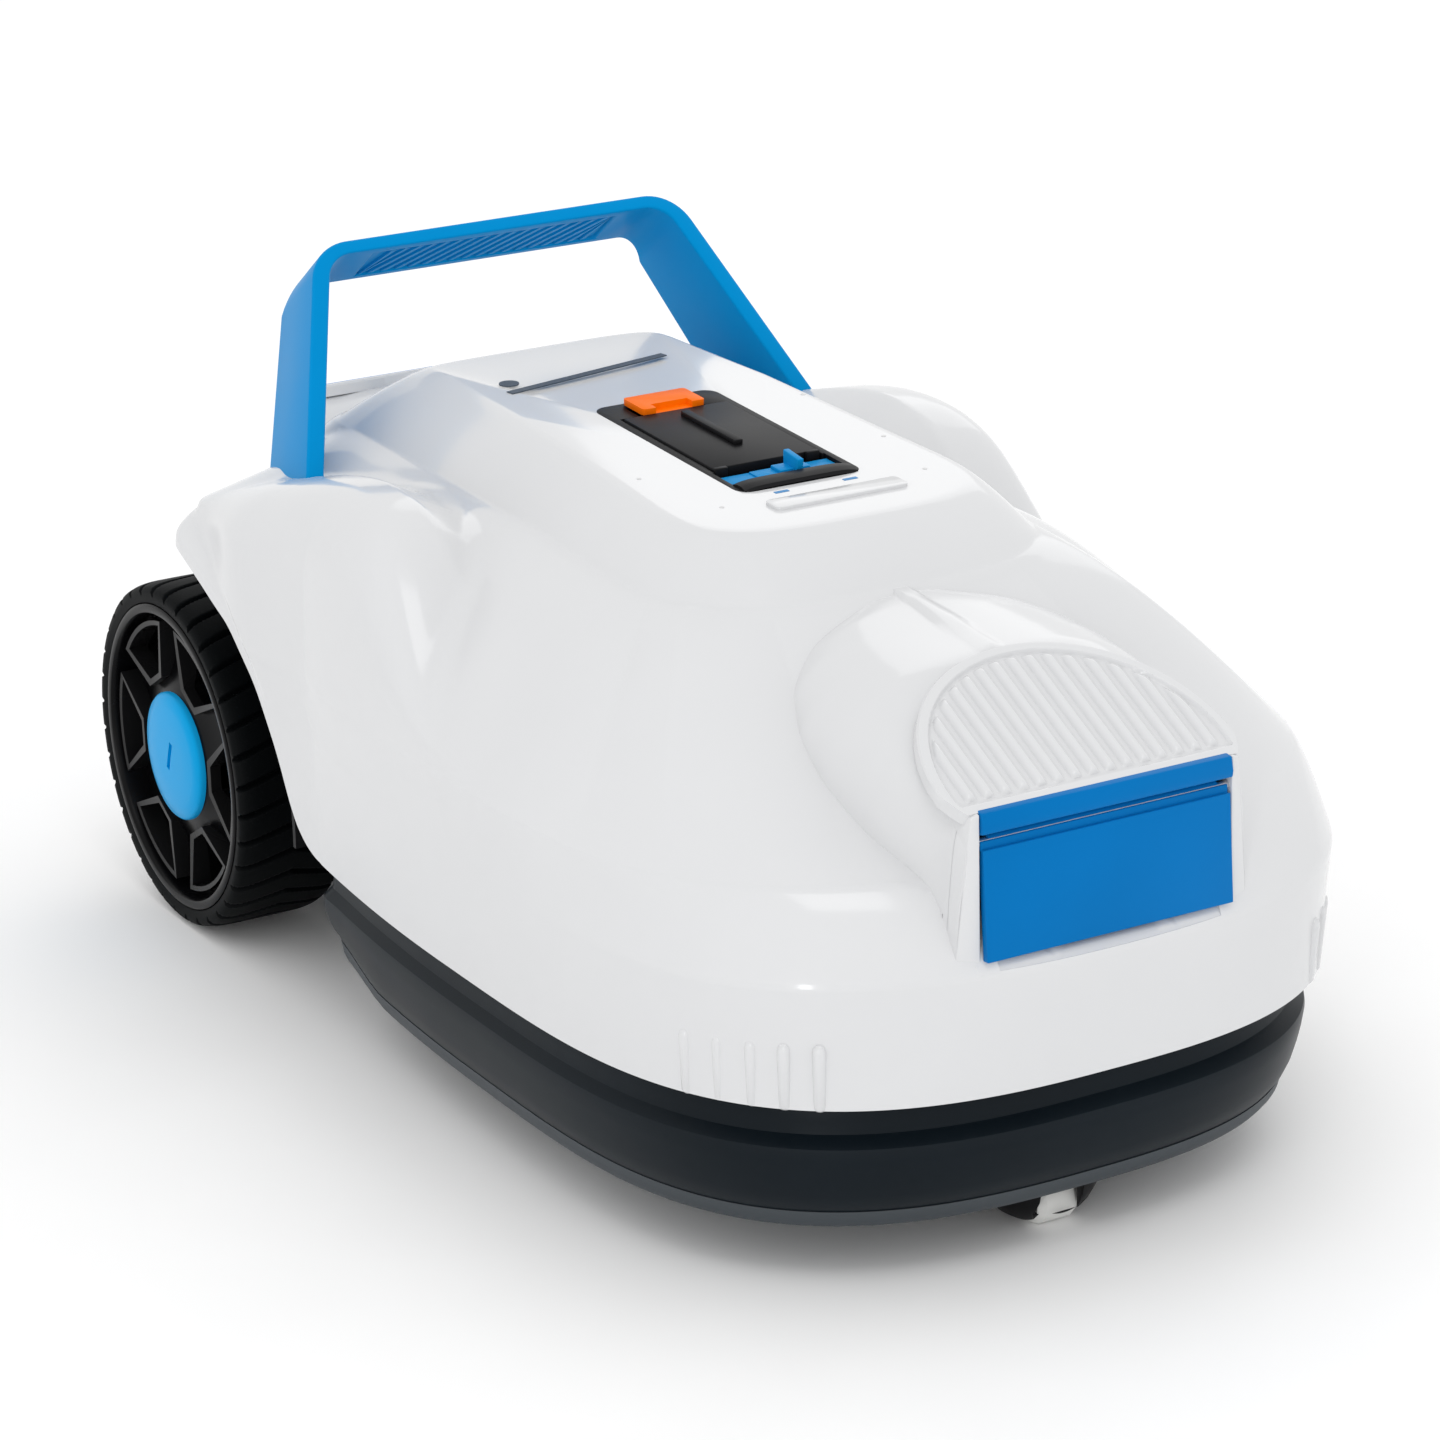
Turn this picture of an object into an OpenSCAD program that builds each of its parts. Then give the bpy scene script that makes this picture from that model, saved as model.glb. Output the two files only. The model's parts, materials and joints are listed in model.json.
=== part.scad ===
// Cordless pool cleaner: white top shell on a dark chassis, two water jets,
// two free-running rear wheels, a swivelling front caster and a carry handle.
// Units are millimetres. Front is -Y, up is +Z, the floor is z = 0.

/* [Body] */
// widest half width of the shell edge
half_w = 127; // [100:1:150]
// length of the rounded nose, from the straight sides to the tip
nose_len = 184; // [120:1:220]
// height of the shell's lower edge
edge_z = 62; // [50:1:80]
// moulding thickness
wall = 3; // [2:0.5:5]
// height of the top panel at its front edge
panel_z = 198.5; // [180:0.5:220]

/* [Wheels] */
// wheel radius
wheel_r = 62; // [50:1:75]
// wheel width over the tread
wheel_w = 41; // [30:1:50]
// distance from the centre to the wheel's outer face
wheel_x = 121; // [110:1:130]
// hub position along the length
hub_y = 174.3; // [160:0.1:185]
// stub axle radius
axle_r = 4; // [3:0.5:6]
// tread lugs round one wheel
lugs = 36; // [24:1:48]

/* [Ducts] */
// inner half width of a jet mouth
mouth_w = 43.8; // [35:0.1:50]
// lower edge of the front jet mouth
mouth_lo = 103; // [90:1:120]
// upper edge of the front jet mouth
mouth_hi = 143; // [130:1:150]
// how much higher the rear jet sits
rear_lift = 22; // [0:1:30]

/* [Handle] */
// half width of the handle at its feet
handle_foot = 98; // [85:1:110]
// half width of the handle at its top
handle_top = 69.7; // [55:0.1:85]
// backward lean from the vertical, degrees
handle_lean = 34.9; // [20:0.1:50]
// length of the handle along its lean
handle_len = 80; // [60:1:100]

/* [Caster] */
// caster roller radius
roller_r = 8; // [5:0.5:10]
// caster position along the length
caster_y = -192; // [-200:1:-150]

/* [Hidden] */
$fn = 64;
eps = 0.01;
run_gap = 0.06;
centre_y = -48;
shell_clear = 0.4;
tub_top = 60.5;
plate_lo = 18.5;
plate_hi = 24.5;
floor_z = 28.5;
side_end = 168;
rear_w = 78;
rear_y0 = 170;
rear_len = 47;
arch_r = 97;
nose_n = 16;
side_n = 14;
rear_n = 9;
box_y = -20;
white = "#F4F5F5";
blue = "#0A8ADF";
flap_blue = "#0170BF";
dark = "#1E252B";
grey = "#4B5258";
black = "#17191B";
orange = "#FF7300";
steel = "#B9BEC2";
board = "#1D6B45";

// ---------- small maths ----------
function lerp(a, b, t) = a + (b - a) * t;
function clamp(x, a, b) = max(a, min(b, x));
function sstep(a, b, x) = let (t = clamp((x - a) / (b - a), 0, 1)) t * t * (3 - 2 * t);
function smax(a, b, k) = let (h = max(k - abs(a - b), 0) / k) max(a, b) + h * h * k / 4;
function pw(v, e) = pow(max(v, 0), e);

// ---------- shell loops, right half, from the nose to the tail ----------
// One index runs along every loop; each function gives [x, y, z].
total = nose_n + side_n + rear_n;
function nose_a(i) = 90 * i / nose_n;
function side_g(i) = (i - nose_n) / side_n;
function rear_a(i) = 90 * (i - nose_n - side_n) / rear_n;
function part_of(i) = i <= nose_n ? 0 : (i <= nose_n + side_n ? 1 : 2);
function ring(i, w, len, ex, ey, y0) =
  [w * pw(sin(nose_a(i)), ex), y0 - len * pw(cos(nose_a(i)), ey)];
function tail(i, w, y0, len, e) =
  [w * pw(cos(rear_a(i)), e), y0 + len * pw(sin(rear_a(i)), e)];
function side_y(i, y0) = lerp(y0, side_end, side_g(i));
function side_x(y) = half_w - 5.5 * pow(clamp((y + 48) / 98, 0, 1), 2)
  + 5 * sstep(50, 120, y) - 48.5 * pow(sstep(140, side_end, y), 1.5);
function arch_z(y) = y < 77.3 ? edge_z
  : edge_z + sqrt(max(arch_r * arch_r - (hub_y - y) * (hub_y - y), 0));
function z_join(z, e) = [z[0], z[1], e];

function loop_l(i) = let (y = side_y(i, centre_y)) part_of(i) == 0
  ? z_join(ring(i, half_w, nose_len, 0.749, 0.525, centre_y), edge_z)
  : part_of(i) == 1 ? [side_x(y), y, arch_z(y)]
  : z_join(tail(i, rear_w, rear_y0, rear_len, 0.4), edge_z);
function loop_c(i) = let (y = side_y(i, -61)) part_of(i) == 0
  ? z_join(ring(i, half_w, nose_len - 10, 0.891, 0.45, -61), 100.5)
  : part_of(i) == 1 ? [side_x(y), y - 1, max(100.5 + 3 * sstep(-40, 70, y), arch_z(y) + 4)]
  : z_join(tail(i, rear_w - 1, rear_y0 - 1, rear_len - 1, 0.4), 96);
function loop_b(i) = let (y = side_y(i, -45.4)) part_of(i) == 0
  ? z_join(ring(i, half_w, nose_len - 14.7, 0.826, 0.51, -45.4), 125.8)
  : part_of(i) == 1
    ? [min(side_x(y) + 2 * sstep(-20, 50, y) - 2 * sstep(90, 128, y), half_w), y - 2 * side_g(i),
       max(125.8, arch_z(y) + 9)]
  : z_join(tail(i, rear_w - 4, rear_y0 - 2, rear_len - 3, 0.45), 128);
function loop_a(i) = part_of(i) == 0
  ? z_join(ring(i, 70, 58, 0.625, 0.625, -60), 180.5 - pw(cos(nose_a(i)), 4))
  : part_of(i) == 1
    ? [lerp(70, 66, side_g(i)), lerp(-60, 128, side_g(i)), lerp(180.5, 184, side_g(i))]
    : z_join(tail(i, 66, 128, 26, 0.6), 184);
function loop_t(i) = part_of(i) == 0 ? z_join(ring(i, 52, 37, 0.6, 0.6, -60), 0)
  : part_of(i) == 1 ? [lerp(52, 43, side_g(i)), lerp(-60, 98, side_g(i)), 0]
  : z_join(tail(i, 43, 98, 22, 0.5), 0);
function loop_o(i) = part_of(i) == 0
  ? [23.2 * pw(sin(nose_a(i)), 0.3), -50 - 13.2 * pw(cos(nose_a(i)), 0.3), 0]
  : part_of(i) == 1 ? [23.2, lerp(-50, 22, side_g(i)), 0]
  : z_join(tail(i, 23.2, 22, 12.8, 0.3), 0);
function top_z(y) = panel_z + 0.055 * (min(y, 40) + 75) + 0.02 * max(min(y, 100) - 40, 0)
  - 0.004 * pow(max(y - 95, 0), 2);

// ---------- shell height between the upper crease and the shoulder ----------
// crest height of the wheel pods along the length
function crest(y) = lookup(y, [[-60, 118], [-32, 144], [-14, 163], [-2, 178], [14, 188.5], [40, 191],
  [64, 187.5], [87, 181.5], [106, 176.5], [125, 171], [140, 166], [155, 158], [168, 150]]);
function fair_c(y) = y > -176 ? 178.3 - 0.1 * (-122 - y) : 173 - 0.511 * (-176 - y);
function fair_z(x, y) = y > -118 ? 0
  : fair_c(y) - lerp(0.0042, 0.0078, clamp((-125 - y) / 45, 0, 1)) * min(x * x, 3600)
    - 2.2 * max(abs(x) - 49, 0) - 1.5 * max(-y - 228, 0);
function swell(i, t, a, b, y) = let (n = part_of(i) == 0 ? nose_a(i) : 90)
  b + (a - b) * (1 - pw(t, lookup(n, [[28, 0.95], [60, 1.42], [74, 1.22], [84, 1.5], [90, 1.6]])
    - 0.2 * sstep(60, 118, y)));
function pod(x, y, xb, zb) = zb + (crest(y) - 0.5 * max(94 - abs(x), 0) - zb)
  * pw(1 - pow(clamp((abs(x) - 94) / max(xb - 94, 8), 0, 1), 3.4), 0.3);
function upper(i, t) = let (a = loop_a(i), b = loop_b(i), x = lerp(a[0], b[0], t),
    y = lerp(a[1], b[1], t), s = swell(i, t, a[2], b[2], y))
  [x, y, t > 0.98 ? b[2] : max(t < 0.02 ? a[2] : smax(s, pod(x, y, b[0], b[2]), 8), fair_z(x, y))];

ups = [0, 0.1, 0.2, 0.3, 0.4, 0.5, 0.6, 0.68, 0.76, 0.84, 0.9, 0.95, 1];
function inset(p, d, low) = let (r = max(norm([p[0], p[1] + 14]), 1))
  [p[0] * (1 - d / r), (p[1] + 14) * (1 - d / r) - 14, p[2] - (low ? 0 : d)];
function row(i) = let (t = loop_t(i), o = loop_o(i), a = loop_a(i), l = loop_l(i),
    c = loop_c(i), b = loop_b(i))
  concat(
    [[o[0], o[1], top_z(o[1])], [t[0], t[1], top_z(t[1])],
     [lerp(t[0], a[0], 0.5), lerp(t[1], a[1], 0.5), lerp(top_z(t[1]), a[2], 0.42)]],
    [for (u = ups) upper(i, u)],
    [[lerp(b[0], c[0], 0.6), lerp(b[1], c[1], 0.6), lerp(b[2], c[2], 0.45)], c, l]);
function thick_row(i) = let (r = row(i), n = len(r))
  concat(r, [for (k = [n - 1:-1:1]) inset(r[k], wall, k == n - 1)],
    [[r[0][0], r[0][1], r[0][2] - wall]]);
function mirror_x(r) = [for (p = r) [-p[0], p[1], p[2]]];

module shell_solid() {
  rows = concat([for (i = [0:total]) thick_row(i)],
    [for (i = [total - 1:-1:1]) mirror_x(thick_row(i))]);
  m = len(rows);
  n = len(rows[0]);
  pts = [for (r = rows) for (p = r) p];
  tris = [for (j = [0:m - 1]) for (k = [0:n - 1])
    let (a = j * n + k, b = j * n + (k + 1) % n,
         c = ((j + 1) % m) * n + (k + 1) % n, d = ((j + 1) % m) * n + k)
    each [[a, b, c], [a, c, d]]];
  polyhedron(pts, [for (t = tris) [t[2], t[1], t[0]]]);
}

// half width of the narrow rear part of the tub, inset by d
function rear_in(d) = rear_w - 1 - 0.5 * min(d, 7) - max(d - 7, 0);

// plan outline of the tub, inset by d, as one polygon
function plan(d, back) = let (h = concat(
    [for (k = [0:20]) let (f = 90 * k / 20)
      [(half_w - d) * pw(sin(f), 0.749), centre_y - (nose_len - 1.6 * d) * pw(cos(f), 0.525)]],
    [[side_x(0) - d, 0], [side_x(30) - d, 30], [side_x(50) - d, 64 - d / 2],
     [rear_in(d), 74 - d / 2], [rear_in(d), back - 12],
     [rear_in(d) - 3, back - 4], [rear_in(d) - 11, back]]))
  concat(h, [for (k = [len(h) - 1:-1:1]) [-h[k][0], h[k][1]]]);

module slab(d, back, z0, z1) {
  translate([0, 0, z0]) linear_extrude(z1 - z0) polygon(plan(d, back));
}

module at_jet(rear) {
  if (rear) translate([0, 0, rear_lift]) rotate([0, 0, 180]) children();
  else children();
}

// ---------- chassis ----------
module inlet_cut(y, z0, z1) {
  translate([-36, y - 8, z0]) cube([72, 16, z1 - z0]);
}

screw_spots = [[80, -120], [105, -20], [105, 50], [66, 195]];

module at_spots(spots) {
  for (p = spots) for (s = [-1, 1]) translate([s * p[0], p[1], 0]) children();
}

module chassis_tub() {
  color(dark) difference() {
    union() {
      slab(2, 214, plate_hi, 45);
      slab(7, 212, 45 - eps, tub_top);
      for (s = [-1, 1]) translate([s * 62, hub_y, edge_z]) rotate([0, s * 90, 0])
        cylinder(h = 11.5, r = 12);
      for (s = [-1, 1]) translate([s > 0 ? 62 : -73.5, hub_y - 12, 30]) cube([11.5, 24, 31.5]);
      for (s = [-1, 1]) translate([s > 0 ? 70.5 : -73.5, 74, 55]) cube([3, 92, 86]);
    }
    difference() {
      slab(10, 209, floor_z, tub_top);
      for (s = [-1, 1]) translate([s * 62, hub_y, edge_z]) rotate([0, s * 90, 0])
        cylinder(h = 11.5, r = 12);
      for (s = [-1, 1]) translate([s > 0 ? 62 : -73.5, hub_y - 12, 10]) cube([11.5, 24, 60]);
      translate([0, caster_y, 24]) cylinder(h = 24, r = 10);
      at_spots(screw_spots) translate([0, 0, 24]) cylinder(h = 20, r = 5);
    }
    for (s = [-1, 1]) translate([s * 50, hub_y, edge_z]) rotate([0, s * 90, 0])
      cylinder(h = 40, r = axle_r);
    translate([0, caster_y, 20]) cylinder(h = 26, r = 4 + run_gap);
    at_spots(screw_spots) translate([0, 0, 20]) cylinder(h = 19, r = 1.5);
    inlet_cut(-60, 20, 40);
    inlet_cut(60, 20, 40);
  }
}

module bottom_plate() {
  color(grey) difference() {
    slab(9, 207, plate_lo, plate_hi - 0.05);
    inlet_cut(-60, 15, 30);
    inlet_cut(60, 15, 30);
    translate([0, caster_y, 15]) cylinder(h = 20, r = 20.8);
    at_spots(screw_spots) {
      translate([0, 0, 15]) cylinder(h = 20, r = 1.8);
      translate([0, 0, 15]) cylinder(h = 6.5, r = 3.4);
    }
  }
}

module plate_screws() {
  color(steel) at_spots(screw_spots) difference() {
    union() {
      translate([0, 0, 19.5]) cylinder(h = 1.9, r = 3);
      translate([0, 0, 21.3]) cylinder(h = 15, r = 1.45);
    }
    translate([-1.6, -0.4, 18.5]) cube([3.2, 0.8, 2]);
    translate([-0.4, -1.6, 18.5]) cube([0.8, 3.2, 2]);
  }
}

module shell_seal() {
  color(black) difference() {
    slab(7.2, 211.8, tub_top, 62.4);
    slab(9.8, 209.2, tub_top - 1, 64);
    translate([-150, 60, tub_top - 1]) cube([300, 200, 5]);
  }
}

module arch_band(s) {
  translate([s > 0 ? 79.5 : -115.5, hub_y, edge_z]) rotate([0, 90, 0])
    rotate([0, 0, 220]) rotate_extrude(angle = 54) translate([90.5, 0]) square([2, 36]);
}

module wheel_arch_liners() {
  color(black) for (s = [-1, 1]) arch_band(s);
}

module axle(s) {
  color(steel) difference() {
    translate([s * 60, hub_y, edge_z]) rotate([0, s * 90, 0]) union() {
      cylinder(h = 55, r = axle_r);
    }
    translate([s * 105, hub_y, edge_z]) rotate([0, s * 90, 0]) cylinder(h = 20, r = 1.5);
  }
}
module left_axle() { axle(-1); }
module right_axle() { axle(1); }

module filter_tray() {
  color(dark) difference() {
    translate([-62, -140, 30.5]) cube([124, 250, 61.5]);
    translate([-59.5, -137.5, 43]) cube([119, 245, 80]);
    for (y = [-60, 60]) translate([-38, y - 14, 25]) cube([76, 28, 30]);
    for (s = [-1, 1]) for (y = [-125:25:85])
      translate([s > 0 ? 55 : -65, y, 50]) cube([10, 18, 31]);
    for (y = [-143, 105]) for (x = [-50:26:40]) translate([x, y, 50]) cube([20, 10, 31]);
  }
}

module filter_mesh() {
  color(white) union() {
    for (s = [-1, 1]) for (y = [-127:25:83])
      translate([s > 0 ? 58.2 : -59.2, y, 47]) cube([1, 22, 37]);
    translate([-58, -136.2, 47]) cube([116, 1, 37]);
    translate([-58, 105.2, 47]) cube([116, 1, 37]);
  }
}

module tray_clips() {
  color(blue) for (s = [-1, 1]) for (y = [-70, 40]) translate([s * 64.4, y, 70]) union() {
    translate([-1.5, -12, -10]) cube([3, 24, 35.3]);
    translate([s > 0 ? -8 : 0, -12, 22.4]) cube([8, 24, 2.9]);
  }
}

module inlet_flap(y) {
  color(blue) difference() {
    union() {
      translate([-34.5, y - 7.2, 28.9]) cube([69, 14.4, 1.6]);
      translate([-34.5, y + 6.5, 32.3]) rotate([0, 90, 0]) cylinder(h = 69, r = 2.2);
      translate([-34.5, y + 4.6, 30]) cube([69, 2.2, 3]);
    }
  }
}
module front_inlet_flap() { inlet_flap(-60); }
module rear_inlet_flap() { inlet_flap(60); }

// ---------- wheels ----------
module on_hub(s) {
  translate([s * (wheel_x - wheel_w), hub_y, edge_z]) rotate([0, s * 90, 0]) children();
}

module tyre(s) {
  color(black) on_hub(s) difference() {
    union() {
      rotate_extrude($fn = 96) polygon([[55, 0], [59, 0], [60.2, 1.4], [60.2, wheel_w - 1.4],
        [59, wheel_w], [55, wheel_w]]);
      intersection() {
        for (k = [0:lugs - 1]) rotate([0, 0, 360 * k / lugs]) translate([59.8, 0, wheel_w / 2])
          rotate([14, 0, 0]) translate([0, -1.7, -wheel_w * 0.44])
          cube([4, 3.4, wheel_w * 0.88]);
        cylinder(h = wheel_w, r = wheel_r);
      }
    }
  }
}
module left_tyre() { tyre(-1); }
module right_tyre() { tyre(1); }

module rim(s) {
  color(black) on_hub(s) difference() {
    rotate_extrude($fn = 96) polygon([[7, 4], [15, 4], [15, 29], [50, 29], [50, 1],
      [54.9, 1], [54.9, wheel_w], [50.5, wheel_w], [50.5, 36], [7, 36]]);
    for (k = [0:5]) rotate([0, 0, 60 * k + 30]) translate([0, 0, 31])
      linear_extrude(10) polygon([[28, -9], [44, -16], [44, 16], [28, 9]]);
  }
}
module left_rim() { rim(-1); }
module right_rim() { rim(1); }

module bush(s) {
  color(white) on_hub(s) difference() {
    translate([0, 0, 3]) cylinder(h = 31, r = 7);
    cylinder(h = 50, r = axle_r + run_gap);
  }
}
module left_bush() { bush(-1); }
module right_bush() { bush(1); }

module hub_cap(s) {
  color(blue) on_hub(s) difference() {
    union() {
      translate([0, 0, 38.1]) cylinder(h = 2.9, r1 = 23, r2 = 20);
      translate([0, 0, 36.1]) cylinder(h = 2.1, r = 23);
    }
    translate([0, 0, 35]) cylinder(h = 4.5, r = 16);
    translate([4, -1.5, 40.2]) cube([10, 3, 3]);
  }
}
module left_hub_cap() { hub_cap(-1); }
module right_hub_cap() { hub_cap(1); }

module wheel_screw(s) {
  color(steel) on_hub(s) union() {
    translate([0, 0, 36.05]) cylinder(h = 0.8, r = 9);
    translate([0, 0, 36.8]) cylinder(h = 2.4, r = 3.2);
    translate([0, 0, 26]) cylinder(h = 11, r = 1.45);
  }
}
module left_wheel_screw() { wheel_screw(-1); }
module right_wheel_screw() { wheel_screw(1); }

// ---------- caster ----------
roll_y = caster_y - 5;
module caster_shroud() {
  color(black) difference() {
    union() {
      translate([0, caster_y, 0]) rotate_extrude() polygon([[0, 1], [7, 1], [12.5, 3.6],
        [16.8, 8], [19, 13.5], [20, 19.5], [20, 24], [0, 24]]);
      translate([0, caster_y, 23.9]) cylinder(h = 21.1, r = 4);
    }
    translate([-8, roll_y - 9.5, -2]) cube([16, 19, 20.5]);
    translate([-9, caster_y - 30, 6]) cube([18, 22, 11]);
    translate([-20, roll_y, roller_r]) rotate([0, 90, 0]) cylinder(h = 40, r = 1.5);
  }
}

module caster_roller() {
  color(white) translate([-7.5, roll_y, roller_r]) rotate([0, 90, 0])
    rotate_extrude() polygon([[1.56, 0], [roller_r - 1.5, 0], [roller_r, 2.5],
      [roller_r, 12.5], [roller_r - 1.5, 15], [1.56, 15]]);
}

module caster_pin() {
  color(steel) translate([-11.8, roll_y, roller_r]) rotate([0, 90, 0])
    cylinder(h = 23.6, r = 1.5);
}

// ---------- handle ----------
module in_handle() {
  translate([0, 95, 180]) rotate([90 - handle_lean, 0, 0]) children();
}

leg_t = 6.2;
bar_t = 4.6;
leg_a = atan2(handle_foot - handle_top, handle_len);
leg_d = handle_foot * cos(leg_a);
function arch(th, top, r, low) = let (d = leg_d - th, cy = top - r,
    cx = (d - r - sin(leg_a) * cy) / cos(leg_a), fx = (d - sin(leg_a) * low) / cos(leg_a),
    h = concat([[fx, low]],
      [for (k = [0:8]) let (a = lerp(leg_a, 90, k / 8)) [cx + r * cos(a), cy + r * sin(a)]]))
  concat(h, [for (k = [len(h) - 1:-1:0]) [-h[k][0], h[k][1]]]);

module handle_band(grow, low) {
  in_handle() translate([0, 0, -61 - grow]) linear_extrude(61 + 2 * grow) difference() {
    polygon(arch(-grow, handle_len + grow, 15, low));
    polygon(arch(leg_t + grow, handle_len - bar_t - grow, 11, low - 1));
  }
}

module handle() {
  color(blue) difference() {
    handle_band(0, -14);
    in_handle() translate([-150, 0, -60]) rotate([-16, 0, 0]) translate([0, -20, -80])
      cube([300, 150, 80]);
    in_handle() translate([-150, 0, 0]) rotate([90, 0, 90]) linear_extrude(300)
      polygon([[56, -62], [56, -46], [64, -39.5], [76, -26], [90, -12], [90, -62]]);
    at_feet() cylinder(h = 15, r = 1.4);
    in_handle() translate([-44, 74, -24]) cube([88, 3.3, 20]);
  }
}

module handle_grip() {
  color(blue) in_handle() intersection() {
    translate([-43.8, 75.5, -23.8]) cube([87.6, 1.7, 19.6]);
    union() {
      translate([-44, 76.2, -24]) cube([88, 1.3, 20]);
      for (x = [-60:4:60]) translate([x, 75, -24]) rotate([0, 35, 0])
        cube([1.6, 4, 60]);
    }
  }
}

module at_feet() {
  in_handle() for (s = [-1, 1]) for (w = [-16, -42]) translate([s * 100.4, -17.6, w])
    rotate([-90, 0, 0]) children();
}

module handle_clamps() {
  color(dark) difference() {
    in_handle() for (s = [-1, 1]) translate([s * 100.4 - 10, -17.3, -54]) cube([20, 3, 48]);
    at_feet() cylinder(h = 8, r = 1.7);
  }
}

module handle_screws() {
  color(steel) at_feet() union() {
    translate([0, 0, -2.1]) cylinder(h = 2.1, r = 3);
    translate([0, 0, -0.4]) cylinder(h = 14, r = 1.35);
  }
}

// ---------- jet housings and flaps ----------
hinge_y = -226;
hinge_z = 139.5;
tilt_front = 27;
tilt_rear = 16.4;

module jet_disc(tilt) {
  translate([0, -227, 148]) rotate([tilt, 0, 0]) difference() {
    union() {
      intersection() {
        translate([0, 9, -3]) cylinder(h = 3, r = 51);
        translate([-60, 0, -5]) cube([120, 70, 20]);
      }
      intersection() {
        translate([0, 9, 0]) difference() {
          cylinder(h = 1.4, r = 51);
          translate([0, 0, -1]) cylinder(h = 5, r = 48);
        }
        translate([-60, 5, -5]) cube([120, 70, 20]);
      }
      intersection() {
        for (x = [-42:6:42]) translate([x - 1.1, 4, -eps]) cube([2.2, 60, 1.4]);
        translate([0, 9, -1]) cylinder(h = 5, r = 45.5);
      }
    }
  }
}

module jet_housing(tilt, axis_z, duct_top) {
  difference() {
    union() {
      jet_disc(tilt);
      intersection() {
        union() {
          translate([-49, -228, 98]) cube([98, 20, 70]);
          translate([0, -227 + 9 * cos(tilt), 98]) intersection() {
            cylinder(h = 90, r = 47.5);
            translate([-49, -60, 0]) cube([98, 120, 90]);
          }
        }
        translate([0, -227, 148]) rotate([tilt, 0, 0]) translate([-60, -0.9, -80])
          cube([120, 200, 79]);
      }
      translate([-49, -220, 98]) cube([98, 43.7, 48]);
      translate([-49, -176.5, 98]) cube([98, 94.5, duct_top - 98]);
      translate([0, -82, axis_z]) rotate([90, 0, 0]) cylinder(h = 64, r = 34);
    }
    translate([-mouth_w, -240, mouth_lo - 1.5]) cube([2 * mouth_w, 61, mouth_hi - mouth_lo + 1.5]);
    translate([-mouth_w, -240, mouth_lo - 1.5]) cube([2 * mouth_w, 118, duct_top - 1.5 - mouth_lo]);
    translate([0, -85, axis_z]) rotate([90, 0, 0]) cylinder(h = 60, r = 30);
    translate([0, -80, axis_z]) rotate([90, 0, 0]) cylinder(h = 10, r = 4);
    translate([-20, -120, axis_z - 40]) cube([40, 26, 22]);
    for (s = [-1, 1]) translate([s * 40, hinge_y, hinge_z]) rotate([0, s * 90, 0])
      cylinder(h = 6.4, r = 1.5);
  }
}

module front_jet_housing() {
  color(white) jet_housing(tilt_front, 130, 146);
}
module rear_jet_housing() {
  color(white) translate([0, 0, rear_lift]) rotate([0, 0, 180]) jet_housing(tilt_rear, 122, 138);
}

module jet_flap() {
  difference() {
    union() {
      translate([-43.3, -228.2, mouth_lo + 0.6]) cube([86.6, 2, mouth_hi - mouth_lo - 2.6]);
      translate([-43.3, hinge_y, hinge_z]) rotate([0, 90, 0]) cylinder(h = 86.6, r = 2.6);
      translate([-41, -229.2, mouth_lo + 3]) cube([82, 1.2, 31]);
    }
    translate([-50, hinge_y, hinge_z]) rotate([0, 90, 0]) cylinder(h = 100, r = 1.5 + run_gap);
  }
}
module front_jet_flap() { color(flap_blue) jet_flap(); }
module rear_jet_flap() {
  color(flap_blue) translate([0, 0, rear_lift]) rotate([0, 0, 180]) jet_flap();
}

module flap_pins() {
  color(steel) for (r = [false, true]) at_jet(r) translate([-46.2, hinge_y, hinge_z])
    rotate([0, 90, 0]) cylinder(h = 92.4, r = 1.5);
}

// ---------- top panel controls ----------
slope = 3.2;
module on_panel() {
  translate([0, -14.5, 199.3]) rotate([slope, 0, 0]) children();
}

function round_rect(a, b, r) = [for (q = [0:3]) for (k = [0:5])
  let (t = 90 * q + 18 * k, sx = (q == 0 || q == 3) ? 1 : -1, sy = q < 2 ? 1 : -1)
  [sx * (a - r) + r * cos(t), sy * (b - r) + r * sin(t)]];

module control_bed() {
  color(black) on_panel() difference() {
    union() {
      translate([0, 0.2, -12]) linear_extrude(12.4) polygon(round_rect(22.6, 48.2, 6));
      translate([-20.6, -43.4, -1.2]) rotate([0, 90, 0]) cylinder(h = 41.2, r = 3);
    }
    translate([-19.4, -26.4, -3.4]) cube([38.8, 59.9, 10]);
    translate([-19.4, -26.4, -4.4]) cube([38.8, 5.2, 5]);
    translate([-19.6, -38.6, -2.4]) cube([39.2, 11, 10]);
    translate([0, 4, -14]) cylinder(h = 20, r = 8);
    translate([-11.6, 33.4, -6]) cube([23.2, 14.2, 20]);
    for (s = [-1, 1]) translate([s * 19, -23.6, -1.1]) rotate([0, s * 90, 0])
      cylinder(h = 2.4, r = 1.1);
  }
}

module socket_cover() {
  color(black) on_panel() union() {
    translate([-19, -25.3, -3]) cube([38, 58.5, 3.8]);
    translate([-21, -23.6, -1.1]) rotate([0, 90, 0]) cylinder(h = 42, r = 1.04);
    translate([-1.5, -8, 0.7]) cube([3, 35, 2]);
  }
}

module release_latch() {
  color(orange) on_panel() difference() {
    translate([-11, 33.9, -5.6]) cube([22, 10.5, 8.4]);
    translate([-6.8, 33, 1.2]) cube([13.6, 4, 5]);
  }
}

module switch_plate() {
  color(blue) on_panel() difference() {
    translate([-19.3, -38.3, -2.3]) cube([38.6, 10.4, 1.5]);
    translate([-11.5, -34.6, -4]) cube([23, 3.4, 6]);
  }
}

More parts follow.
